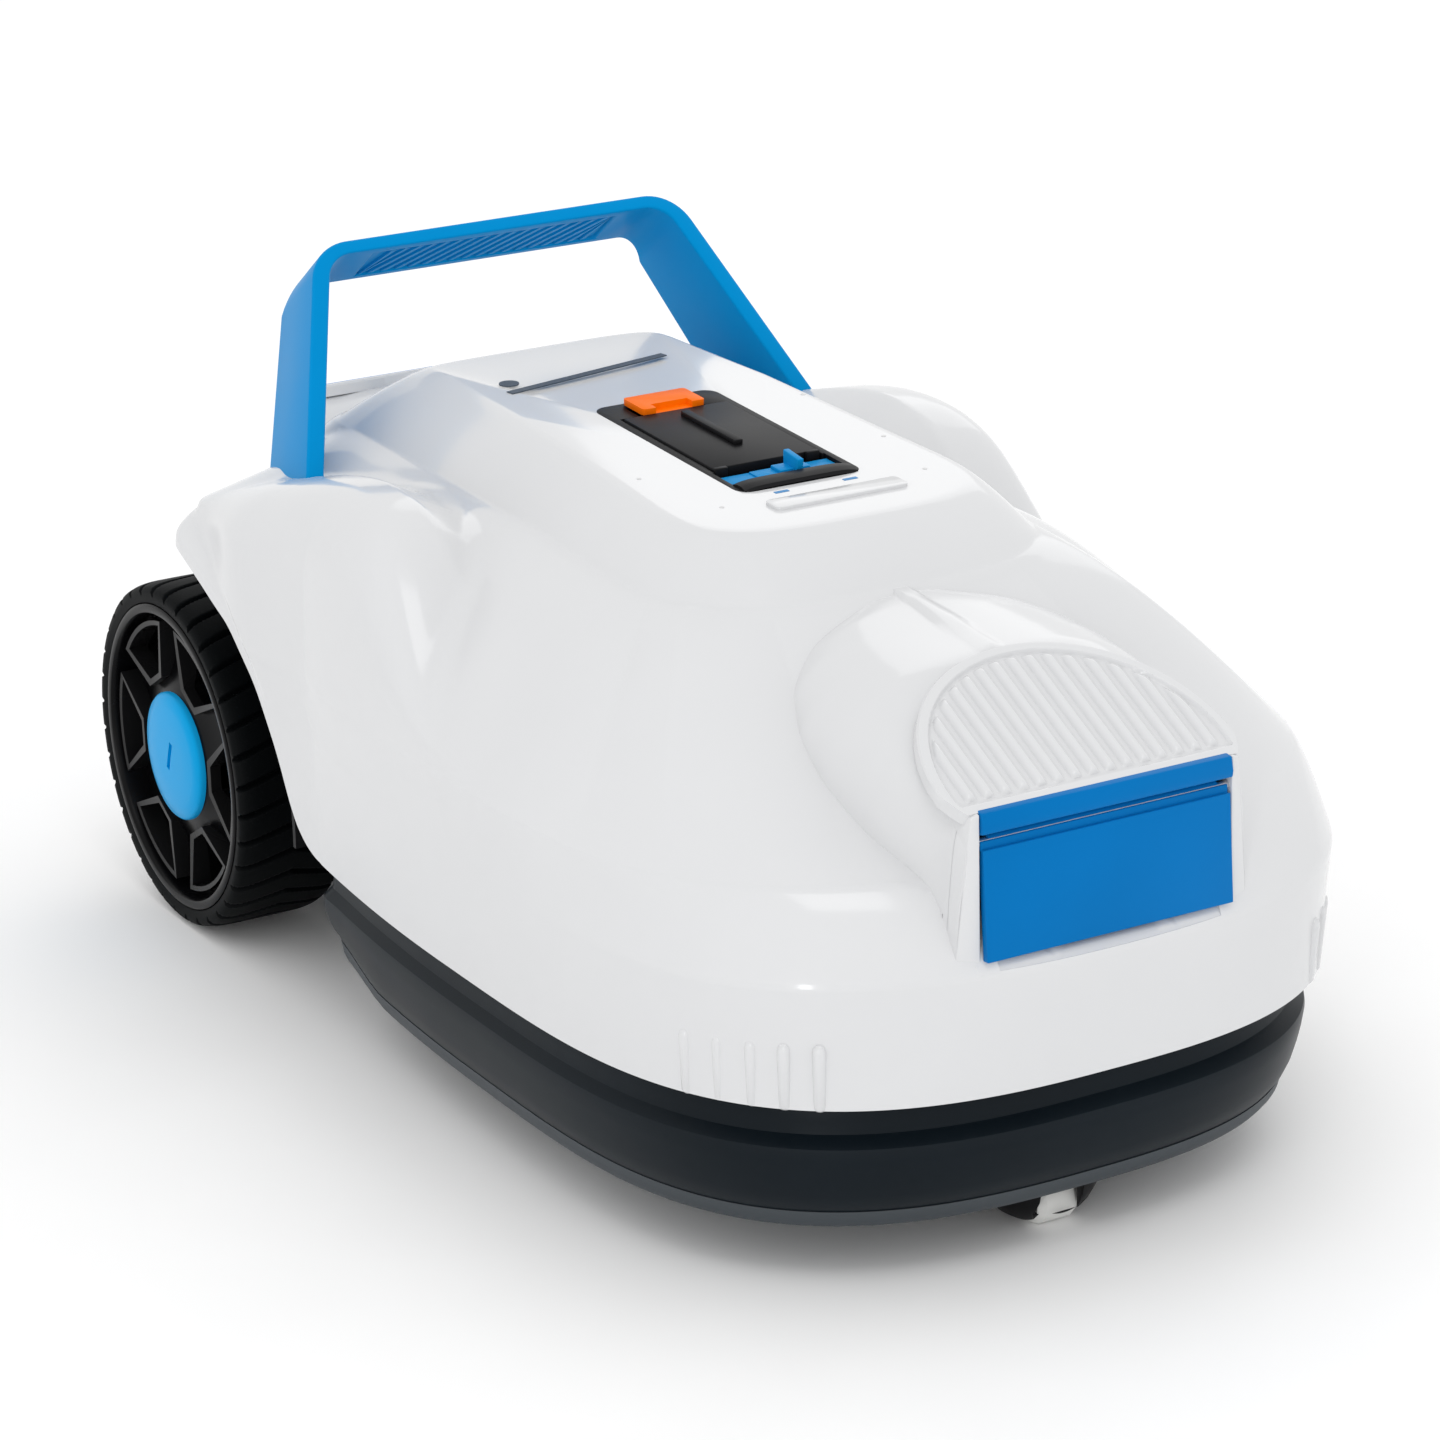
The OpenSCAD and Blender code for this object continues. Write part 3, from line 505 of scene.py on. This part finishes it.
jet_fairing("front_jet_fairing", None, [
    (-112, 26, 178.0, 150, 2.4, 2.4), (-121, 36, 178.4, 150, 2.4, 2.4), (-129, 51, 177.6, 148, 2.5, 2.5),
    (-141, 59, 176.4, 140, 2.6, 2.6), (-155, 62.5, 175, 130, 2.8, 2.8), (-170, 62.5, 173.6, 120, 3.0, 3.0),
    (-182, 60.5, 169.4, 112, 3.6, 3.6), (-192, 58, 164.6, 106, 4.6, 4.6), (-202, 55.4, 159.6, 100, 7, 7),
    (-215, 53, 152.9, 92, 11, 11), (-228, 51.8, 146.6, 88, 14, 14)], True)
jet_fairing("rear_jet_fairing", REAR, [
    (-128, 40, 162, 130, 3, 3), (-150, 52, 164, 124, 3, 3), (-165, 55, 163.2, 118, 3.4, 3.4),
    (-190, 54.5, 158, 108, 5, 5), (-215, 53, 151, 98, 11, 11), (-228, 51.8, 147.0, 92, 14, 14)], False)


def jet_housing(name, tilt, at, node, pipe_z):
    """Ribbed disc, front frame, duct and impeller pipe of one jet, as one moulding."""
    plane = place(0, -227, 148, rx=tilt)
    xs = np.unique(np.round(np.concatenate([np.arange(-45.6, 45.7, 0.4), np.linspace(45.6, 51, 12),
                                            -np.linspace(45.6, 51, 12)]), 3))
    ax = np.abs(xs)
    v0 = np.where(ax < 46.5, 0, 9 * pw((ax - 46.5) / 4.5, 1.4))
    v1 = 9 + np.sqrt(np.maximum(51 ** 2 - xs ** 2, 0)) + 1e-3
    s = np.concatenate([np.linspace(0, 0.12, 16), np.linspace(0.13, 0.9, 60), np.linspace(0.905, 1, 24)])
    v = v0[:, None] + (v1 - v0)[:, None] * s[None, :]
    x = np.broadcast_to(xs[:, None], v.shape)
    d = np.hypot(x, v - 9)
    rim = step(46.9, 47.9, d) * (v > 0)
    front = 1 - step(3.2, 4.4, v)
    near = (x + 3) % 6 - 3
    end = np.minimum((v - 5.5) / 2.0, (46.2 - d) / 2.0)
    rib = (np.sqrt(np.clip(1 - (near / 1.75) ** 2, 0, 1))
           * np.sqrt(np.clip(1 - (1 - np.clip(end, 0, 1)) ** 2, 0, 1)))
    h = 1.3 * np.maximum(rim, front)
    h = np.maximum(h, 1.5 * rib * (d < 46.4))
    h -= 0.9 * pw(step(50.2, 51, d), 2)
    top = np.stack([x, v, h], -1)
    low = top.copy()
    low[..., 2] = -3.0
    disc_v, disc_f = loft(np.concatenate([top, low[:, ::-1]], 1))
    inner = [(-MOUTH, 103), (MOUTH, 103), (MOUTH, 149.4), (-MOUTH, 149.4)]
    posts = []
    for s in (-1, 1):
        ring = []
        for t in np.linspace(0, 1, 9):
            edge, z_in, z_out = s * lerp(46.6, 51.6, t), lerp(149.2, 96.5, t), lerp(148.4, 96.5, t)
            ring.append([(s * MOUTH, -228.9, z_in), (edge, lerp(-228.6, -226.4, t), z_out),
                         (edge, -212, z_out), (s * MOUTH, -212, z_in)])
        posts.append(loft(np.array(ring)))
    xs = np.linspace(-46, 46, 25)
    lip = -61 - 174 * np.cos(np.arcsin((np.abs(xs) / 127) ** (1 / 0.891))) ** 0.45
    sill = np.array([[(x, y + 1.2, 98.0), (x, y + 0.4, 100.4), (x, -229.0, 103.7), (x, -212, 103.7),
                      (x, -212, 98.0)] for x, y in zip(xs, lip)])
    posts.append(loft(sill))
    outside = [(x * 1.05, (z - 126) * 1.05 + 126) for x, z in inner]
    walls = np.array([[(x, y, z) for x, z in line]
                      for y, line in ((-216, inner), (-124, inner), (-124, outside), (-216, outside))])
    duct = (walls.reshape(-1, 3), grid(walls, True, True))
    back = box((-46, -124, 101.5), (46, -121, 150.5))
    pipe = turn([(30, -85), (34, -85), (34, -122), (30, -122)], 64, place(0, 0, pipe_z) @ ALONG_Y)
    v, f = join(*posts, duct, back, pipe)
    obj(name, moved(v, at), f, "upper", "shell_white", [node], bevel=0.7, segs=3)
    obj(name + "_grille", moved(moved(disc_v, plane), at), disc_f, "upper", "shell_white", angle=40)


jet_housing("front_jet_frame", 27, None, "front_jet_housing", 130)
jet_housing("rear_jet_frame", 16.4, REAR, "rear_jet_housing", 122)


def jet_flap(name, at, body, node, ajar):
    """Blue flap panel hanging a little open, and the fixed bar it hangs from."""
    swing = (Matrix.Translation((0, HINGE_Y, HINGE_Z)) @ Matrix.Rotation(math.radians(-ajar), 4, "X")
             @ Matrix.Translation((0, -HINGE_Y, -HINGE_Z)))
    panel = box((-43.0, -229.3, 104.2), (43.0, -226.6, 137.8))
    lip = box((-43.0, -227.9, 135.6), (43.0, -224.6, 140.2))
    knuckle = turn([(1.6, -40), (2.3, -40), (2.3, 40), (1.6, 40)], 24,
                   place(0, HINGE_Y + 0.9, HINGE_Z, ry=90))
    v, f = join(panel, lip, knuckle)
    v = moved(v, swing)
    obj(name, moved(v, at), f, body, "flap_blue", [node], bevel=0.55, segs=3)
    v, f = prism([(-229.9, 143.0), (-230.2, 145), (-229.3, 149.2), (-226.5, 149.6), (-224.5, 149.2),
                  (-224.5, 142.4), (-228.2, 142.5)], -43.5, 43.5, ALONG_X)
    obj(name + "_bar", moved(v, at), f, "upper", "flap_blue", bevel=0.5, segs=3)


jet_flap("front_flap_panel", None, "front_flap", "front_jet_flap", 3.6)
jet_flap("rear_flap_panel", REAR, "rear_flap", "rear_jet_flap", 0.5)

# ------------------------------------------------------------------ gripping ribs on the shell
for side in (-1, 1):
    parts = []
    for gx, gy in ((112.3, -178.4), (107, -187.8), (101.2, -196.5), (94.8, -204.1), (87.2, -210.9)):
        n = np.array([gx, gy + 60.0])
        n /= np.hypot(*n)
        foot, head = np.array([gx, gy]) - 1.1 * n, np.array([gx, gy]) + 0.9 * n
        prof = [(0.01, 61.6), (1.5, 61.7), (2.1, 62.6), (2.1, 80.6), (1.7, 82.2), (0.9, 83.0), (0.01, 83.2)]
        rv, rf = turn(prof, 20)
        k = (rv[:, 2:] - 62) / 20
        rv[:, :2] += foot * (1 - k) + head * k
        rv[:, 0] *= side
        parts.append((rv, rf))
    v, f = join(*parts)
    obj("shell_ribs_right" if side > 0 else "shell_ribs_left", v, f, "upper", "shell_white", angle=60)

# ------------------------------------------------------------------ control bay
PANEL = place(0, -14.5, 201.0, rx=3.2)
obj("control_tray", *prism(rrect(22.6, 48.4, 5, 6, 0, 0.6), -10, 0.9, PANEL), "upper", "control_black",
    ["control_bed"], bevel=0.5,
    cuts=[box((-19.6, -27, -3), (19.6, 35, 4), PANEL), box((-20.4, -38.6, -4), (20.4, -26.6, 4), PANEL),
          box((-19.7, -29.2, -6.4), (19.7, -22, 4), PANEL),
          box((-12.4, 33.5, -5), (12.4, 44, 4), PANEL)])
cv, cf = join(box((-19.2, -24.6, -2.8), (19.2, 33.2, 1.7), PANEL),
              box((-1.6, -8, 1.5), (1.6, 27, 3.4), PANEL),
              box((-19.2, -26.2, -2.8), (-14.5, -24.2, 2.0), PANEL),
              box((14.5, -26.2, -2.8), (19.2, -24.2, 2.0), PANEL))
obj("socket_lid", cv, cf, "cover", "control_black", ["socket_cover"], bevel=0.45)
obj("latch_button", *join(prism(rrect(11.4, 5.5, 1.0, 3, 0, 39.3), -3.4, 1.4, PANEL),
                          prism(rrect(11.6, 7, 1.2, 3, 0, 40.6), 1.2, 3.4, PANEL)), "latch", "latch_orange",
    ["release_latch"], bevel=0.5, cuts=[box((-6.8, 32, 1.4), (6.8, 37.4, 6), PANEL)])
obj("switch_deck", *join(box((-20.2, -38.4, -2.8), (20.2, -28.5, -0.2), PANEL),
                         box((-9, -37, -0.6), (9, -29.3, 0.4), PANEL)),
    "upper", "handle_blue", ["switch_plate"], bevel=0.3)
fv, ff = prism([(-38.4, -0.4), (-30.0, -0.4), (-29.7, 6.0), (-39.2, 5.2)], 3.2, 5.4,
               PANEL @ ALONG_X)
obj("switch_fin", *join((fv, ff), box((-1.5, -36.4, -0.2), (9.5, -30.0, 1.6), PANEL)),
    "switch", "handle_blue", ["switch_knob"], bevel=0.4)
bar_x = np.linspace(-20.6, 20.6, 25)
bar_top = 2.9 - (np.abs(bar_x) / 20.6) ** 6
a = np.linspace(0, 2 * PI, 10, endpoint=False)
bar = np.stack([np.stack([np.full(10, x0), -43.2 + 4.4 * np.cos(a), h0 - 1.6 + 1.6 * np.sin(a)], 1)
                for x0, h0 in zip(bar_x, bar_top)])
v, f = loft(bar)
obj("bay_front_bar", moved(v, PANEL), f, "upper", "control_black")


def on_panel(outline, low, high):
    """Flat pad lying on the crowned top panel."""
    rings = []
    for d in (low, high):
        o = np.asarray(outline, float)
        rings.append(np.c_[o, top_z(o[:, 1]) + d])
    return loft(np.stack(rings))


def strip(x0, y0, x1, y1, w, k=10):
    a, b = np.array([x0, y0], float), np.array([x1, y1], float)
    t = (b - a) / np.hypot(*(b - a))
    n = np.array([-t[1], t[0]]) * w / 2
    mids = [a + (b - a) * q for q in np.linspace(0, 1, k)]
    return [m + n for m in mids] + [m - n for m in reversed(mids)]


obj("front_tab", *on_panel(rrect(24, 4.2, 2, 5, 3, -77.5), -1.0, 1.1), "upper", "shell_white", bevel=0.4)
obj("hump_mark", *join(on_panel(strip(-36, 66, 30, 79, 3.2), -0.3, 0.12),
                       on_panel(disc_line(3.4, 24, -31, 76), -0.3, 0.12)), "upper", "print_navy")
obj("switch_marks", *join(*[on_panel(strip(x, -66.5, x + 5, -66.5, 1.6), -0.3, 0.12) for x in (-13, 12)]),
    "upper", "print_blue")
# duller grey dots painted where the sink dimples over the screw bosses show only by light and shade:
# painted shade, not a colour of the shell
shade_dots = [on_panel(disc_line(0.8, 10, x, y), -0.3, 0.1)
        for x, y in ((-43, -34), (-34, -70), (40, -70), (46, -36), (46, 14))]
obj("sink_mark_shade_dots", *join(*shade_dots), "upper", "sink_mark")

# ------------------------------------------------------------------ handle
LEAN = 34.9
HAND = place(0, 95, 180, rx=90 - LEAN)
FOOT, TOP, LEN = 98.0, 69.7, 80.0
LEG = math.atan2(FOOT - TOP, LEN)


def arch(thick, top, r, low, k=12):
    """Outline of the strap inset by thick, from one foot over the bar to the other."""
    d = FOOT * math.cos(LEG) - thick
    cy = top - r
    cx = (d - r - math.sin(LEG) * cy) / math.cos(LEG)
    fx = (d - math.sin(LEG) * low) / math.cos(LEG)
    half = [(fx, low)] + [(cx + r * math.cos(a), cy + r * math.sin(a)) for a in np.linspace(LEG, PI / 2, k)]
    return half + [(-x, y) for x, y in reversed(half)]


def handle():
    o, i = np.array(arch(0, LEN, 17, -16)), np.array(arch(6.2, LEN - 4.6, 11, -16))

    def back(p):
        return -min(61 - 0.287 * p[1], float(np.interp(p[1], (56, 64, 76, 81), (46, 39.5, 26, 21))))
    strap = np.array([[(*p, 0) for p in o], [(*p, 0) for p in i], [(*p, back(p)) for p in i],
                      [(*p, back(p)) for p in o]])
    fs = grid(strap, True, False)
    n = strap.shape[1]
    for end in (0, n - 1):
        fs.append(tuple(k * n + end for k in range(4)))
    return moved(strap.reshape(-1, 3), HAND), fs


hv, hf = handle()
obj("carry_handle", hv, hf, "upper", "handle_blue", ["handle"], angle=40, bevel=1.8, segs=4,
    cuts=[box((-47, 72, -23.6), (47, 77.2, -4.5), HAND)])
strips = []
for x0 in np.arange(-58, 46, 5.2):
    a, b = np.array([x0, -23.2]), np.array([x0 + 13, -4.9])
    w = np.array([2.0, 0])
    quad = [a, a + w, b + w, b]
    quad = [(min(max(p[0], -46), 46), p[1]) for p in quad]
    if max(p[0] for p in quad) - min(p[0] for p in quad) < 4:
        continue
    strips.append(prism(quad, 75.7, 77.0, HAND @ ALONG_Y))
sv, sf = join(*strips, box((-46.5, 76.6, -23.4), (46.5, 77.1, -4.7), HAND))
obj("grip_hatching", sv, sf, "upper", "handle_blue", ["handle_grip"], angle=30)

# ------------------------------------------------------------------ base
REAR_Y = 214.0
SLOT_Y, CASTER_Y = (-60, 60), -192.0


def plan(d, k=110):
    """Half outline of the base inset by d, nose to tail, as (x, y)."""
    f = np.linspace(0, PI / 2, k)
    nose_part = [((127 - d) * math.sin(a) ** 0.749,
                  -48 - (184 - 1.6 * d) * max(math.cos(a), 0) ** 0.525) for a in f]
    side = [(float(side_x(np.array(y))) - d, y) for y in np.linspace(-44, 44, 12)]
    r, r2 = 9, 12
    cx, cy = 121.5 - d - r, 64 - d * 0.5 - r
    side += [(cx + r * math.cos(a), cy + r * math.sin(a)) for a in np.linspace(0, PI / 2, 10)]
    side += [(76 - d * 0.3 - 0.01, cy + r + 0.01), (76 - d * 0.3, cy + r + 6)]
    side += [(76 - d * 0.3 - r2 + r2 * math.cos(a), REAR_Y - d * 0.6 - r2 + r2 * math.sin(a))
             for a in np.linspace(0, PI / 2, 10)]
    return np.array(nose_part + side + [(0, REAR_Y - d * 0.6)])


def whole(half):
    return np.concatenate([half, (half[1:-1] * np.array([-1, 1]))[::-1]])


def base_ring(d, z, sweep):
    """Ring at height z; the underside sweeps up towards the wheels."""
    p = whole(plan(d))
    up = sweep * step(16, 66, p[:, 1]) * step(104, 116, np.abs(p[:, 0]))
    return np.c_[p, z + up]


# base wall rings: inset, height, sweep up ahead of the wheels
outer = [(7.8, 24.6, 9), (6.6, 27.0, 9), (5.4, 31, 6), (4.4, 36, 3), (3.6, 41, 1), (3.1, 45.6, 0.5),
         (3.3, 47.4, 0), (4.8, 49.0, 0), (6.0, 50.4, 0), (6.5, 54, 0), (6.8, 59.4, 0), (7.2, 60.4, 0)]
inner_wall = [(9.6, 60.4, 0), (10.0, 46, 0), (10.4, 29, 8)]
rings = np.stack([base_ring(*q) for q in outer + inner_wall])
v, f = loft(rings)
obj("base_tub", v, f, "chassis", "base_dark", ["chassis_tub"], angle=28,
    cuts=[box((-36, y - 8, 12), (36, y + 8, 40)) for y in SLOT_Y])
fits = []
for s in (-1, 1):
    fits.append(turn([(4.0, 0), (12, 0), (12, 11.5), (4.0, 11.5)], 40,
                     place(s * 62, HUB_Y, HUB_Z, ry=90 * s)))
    fits.append(box((min(s * 62, s * 73.5), 162.3, 28), (max(s * 62, s * 73.5), 186.3, 52)))
    fits.append(box((min(s * 70.5, s * 73.5), 74, 50), (max(s * 70.5, s * 73.5), 166, 140)))
    for x0, y0 in ((80, -120), (105, -20), (105, 50), (66, 195)):
        fits.append(turn([(1.5, 28), (5, 28), (5, 44), (1.5, 44)], 24, place(s * x0, y0, 0)))
v, f = join(*fits)
obj("base_fittings", v, f, "chassis", "base_dark", bevel=0.5)
low = [(11.0, 18.5, 9), (9.2, 18.9, 9), (8.2, 20.8, 9), (7.6, 24.5, 9)]
v, f = loft(np.stack([base_ring(*q) for q in low]))
obj("under_plate", v, f, "chassis", "plate_grey", ["bottom_plate"], angle=30,
    cuts=[box((-36, y - 8, 12), (36, y + 8, 30)) for y in SLOT_Y]
    + [prism(disc_line(20.8, 48, 0, CASTER_Y), 10, 30)])

# ------------------------------------------------------------------ wheels
LUGS = 36


def wheel(side, body, name):
    hub = place(side * 80, HUB_Y, HUB_Z, ry=90 * side)
    # tyre: carcass with wide slanted lugs, as a fine cylinder of radius r(angle, width)
    na, nw = 720, 46
    a = np.linspace(0, 2 * PI, na, endpoint=False)
    w = np.linspace(0, WW, nw)
    aa, wwv = np.meshgrid(a, w, indexing="ij")
    u = wwv / WW
    ph = (aa * LUGS / (2 * PI) + 0.55 * np.abs(u - 0.5) * 2) % 1
    groove = step(0.0, 0.05, ph) * (1 - step(0.17 - 0.06 * u, 0.24, ph))
    rr = WR - 2.4 * groove - 1.9 * pw(np.abs(u - 0.5) * 2, 7)
    rr = np.where((wwv < 0.8) | (wwv > WW - 0.8), np.minimum(rr, WR - 2.6), rr)
    x = np.stack([rr * np.cos(aa), rr * np.sin(aa), wwv], -1)
    inner = [np.stack([r0 * np.cos(a), r0 * np.sin(a), np.full(na, z0)], -1)
             for r0, z0 in ((57.4, WW), (55.3, WW - 0.6), (55.0, WW - 3), (55.0, 3), (55.3, 0.6),
                            (57.4, 0.0))]
    ring = np.concatenate([x] + [i[:, None, :] for i in inner], 1)
    obj(name + "_tread", moved(ring.reshape(-1, 3), hub), grid(ring, True, True), body, "tread_rubber",
        [name + "_tyre"], angle=40)
    # rim: dished face with six pockets with raised lips
    rim_ring = turn([(54.9, 1), (54.9, WW - 0.4), (54.0, WW), (51.8, WW - 0.2), (51.2, WW - 2.0),
                     (50.8, 26), (50.8, 1)], 160, hub)
    plate = turn([(7, 14), (7, 37.6), (22, 37.6), (24.5, 36.4), (34, 33), (51, 31), (51, 14)], 128, hub)

    def arc(r0, h0):
        return [(r0 * math.cos(q), r0 * math.sin(q)) for q in np.linspace(-h0, h0, 9)]

    lips, holes = [], []
    for k in range(6):
        t = hub @ Matrix.Rotation(math.radians(60 * k + 30), 4, "Z")
        out_line = np.array([(27.5, -6.2), *arc(48.6, 0.40), (27.5, 6.2)])
        in_line = np.array([(29.6, -4.6), *arc(46.9, 0.355), (29.6, 4.6)])
        heights = np.interp(np.hypot(out_line[:, 0], out_line[:, 1]), [26, 50], [38.4, 38.8])
        lip = np.stack([np.c_[out_line, heights - 9], np.c_[out_line, heights - 0.5],
                        np.c_[out_line * 0.995 + in_line * 0.005, heights],
                        np.c_[in_line, heights - 0.2], np.c_[in_line, heights - 20]])
        lips.append((moved(lip.reshape(-1, 3), t), grid(lip, True, True)))
        holes.append(prism(in_line, 16.5, 45, t))
    v, f = join(rim_ring, plate)
    obj(name + "_wheel_face", v, f, body, "rim_black", [name + "_rim"], angle=30, bevel=0.35, cuts=holes)
    v, f = join(*lips)
    obj(name + "_wheel_lips", v, f, body, "rim_black", angle=25)
    cap = turn([(0.02, 36), (23, 36), (23, 38.6), (22.2, 39.6), (18, 40.5), (10, 40.9), (0.02, 41.0)],
               96, hub)
    tick = prism([(-1.2, -6), (1.2, -6), (1.2, 5), (-1.2, 5)], 39.8, 45,
                 hub @ Matrix.Rotation(math.radians(70), 4, "Z"))
    # the caps are the handle's blue plastic, painted in the brighter copy: painted light
    obj(name + "_cap", *cap, body, "handle_blue", [name + "_hub_cap"], angle=40, paint="cap_blue",
        cuts=[tick])


wheel(-1, "left_wheel", "left")
wheel(1, "right_wheel", "right")

# ------------------------------------------------------------------ caster
ROLL_Y = CASTER_Y - 5
bowl = turn([(0.02, 1.0), (7, 1.0), (10, 1.8), (13, 3.8), (16, 7.4), (18.2, 11.5), (19.3, 16), (19.8, 20),
             (19.8, 23.6), (0.02, 23.6)], 96, place(0, CASTER_Y, 0))
obj("caster_cowl", *bowl, "caster", "control_black", ["caster_shroud"], angle=30, bevel=0.5,
    cuts=[box((-8, ROLL_Y - 9.5, -2), (8, ROLL_Y + 9.5, 18.5)),
          box((-9.4, CASTER_Y - 30, 6.4), (4.6, CASTER_Y - 8, 16.6))])
stem = turn([(0.02, 23), (4, 23), (4, 45), (0.02, 45)], 32, place(0, CASTER_Y, 0))
obj("caster_turntable", *stem, "caster", "control_black", angle=35, bevel=0.3)

# ------------------------------------------------------------------ stage, light and camera


def area(name, loc, size, power, target=(0, 0, 0.08), size_y=None):
    light = bpy.data.lights.new(name, "AREA")
    light.shape = "RECTANGLE"
    light.size, light.size_y = size, size_y or size
    light.energy = power
    o = bpy.data.objects.new(name, light)
    scene.collection.objects.link(o)
    o.location = loc
    o.rotation_mode = "QUATERNION"
    o.rotation_quaternion = (Vector(target) - Vector(loc)).to_track_quat("-Z", "Y")


fl = bpy.data.meshes.new("floor")
fl.from_pydata([(-6, -6, 0), (6, -6, 0), (6, 6, 0), (-6, 6, 0)], [], [(0, 1, 2, 3)])
floor = bpy.data.objects.new("floor", fl)
scene.collection.objects.link(floor)
fl.materials.append(plastic("floor_white", (0.97, 0.97, 0.97), 0.75, 0.008, 300, 0.02, wear=0, gleam=0.2))

world = bpy.data.worlds.new("studio")
scene.world = world
world.use_nodes = True
world.node_tree.nodes["Background"].inputs["Color"].default_value = (1, 1, 1, 1)
world.node_tree.nodes["Background"].inputs["Strength"].default_value = 1.0
area("key", (-0.3, -0.9, 1.7), 0.7, 3.2)
area("left_strip", (-1.3, -1.5, 0.42), 0.16, 3.0, size_y=0.7)
area("rear_fill", (1.2, 1.2, 1.3), 1.2, 3.0)
scene.view_settings.view_transform = "Standard"

# azimuth, elevation, distance in millimetres and roll of the camera, then its lens
AZ, EL, DIST, ROLL = math.radians(-29.68), math.radians(19.22), 1508.04, math.radians(-1.49)
back = Vector((math.sin(AZ) * math.cos(EL), -math.cos(AZ) * math.cos(EL), math.sin(EL)))
cam_data = bpy.data.cameras.new("camera")
cam_data.sensor_width = 36
cam_data.lens = 114.5635
cam = bpy.data.objects.new("camera", cam_data)
scene.collection.objects.link(cam)
target = Vector((-0.24, -6.16, 104.4))
cam.location = (target + back * DIST) * MM
cam.rotation_mode = "QUATERNION"
cam.rotation_quaternion = ((-back).to_track_quat("-Z", "Y").to_matrix()
                           @ Matrix.Rotation(ROLL, 3, "Z")).to_quaternion()
cam_data.clip_start, cam_data.clip_end = 0.05, 30
scene.camera = cam
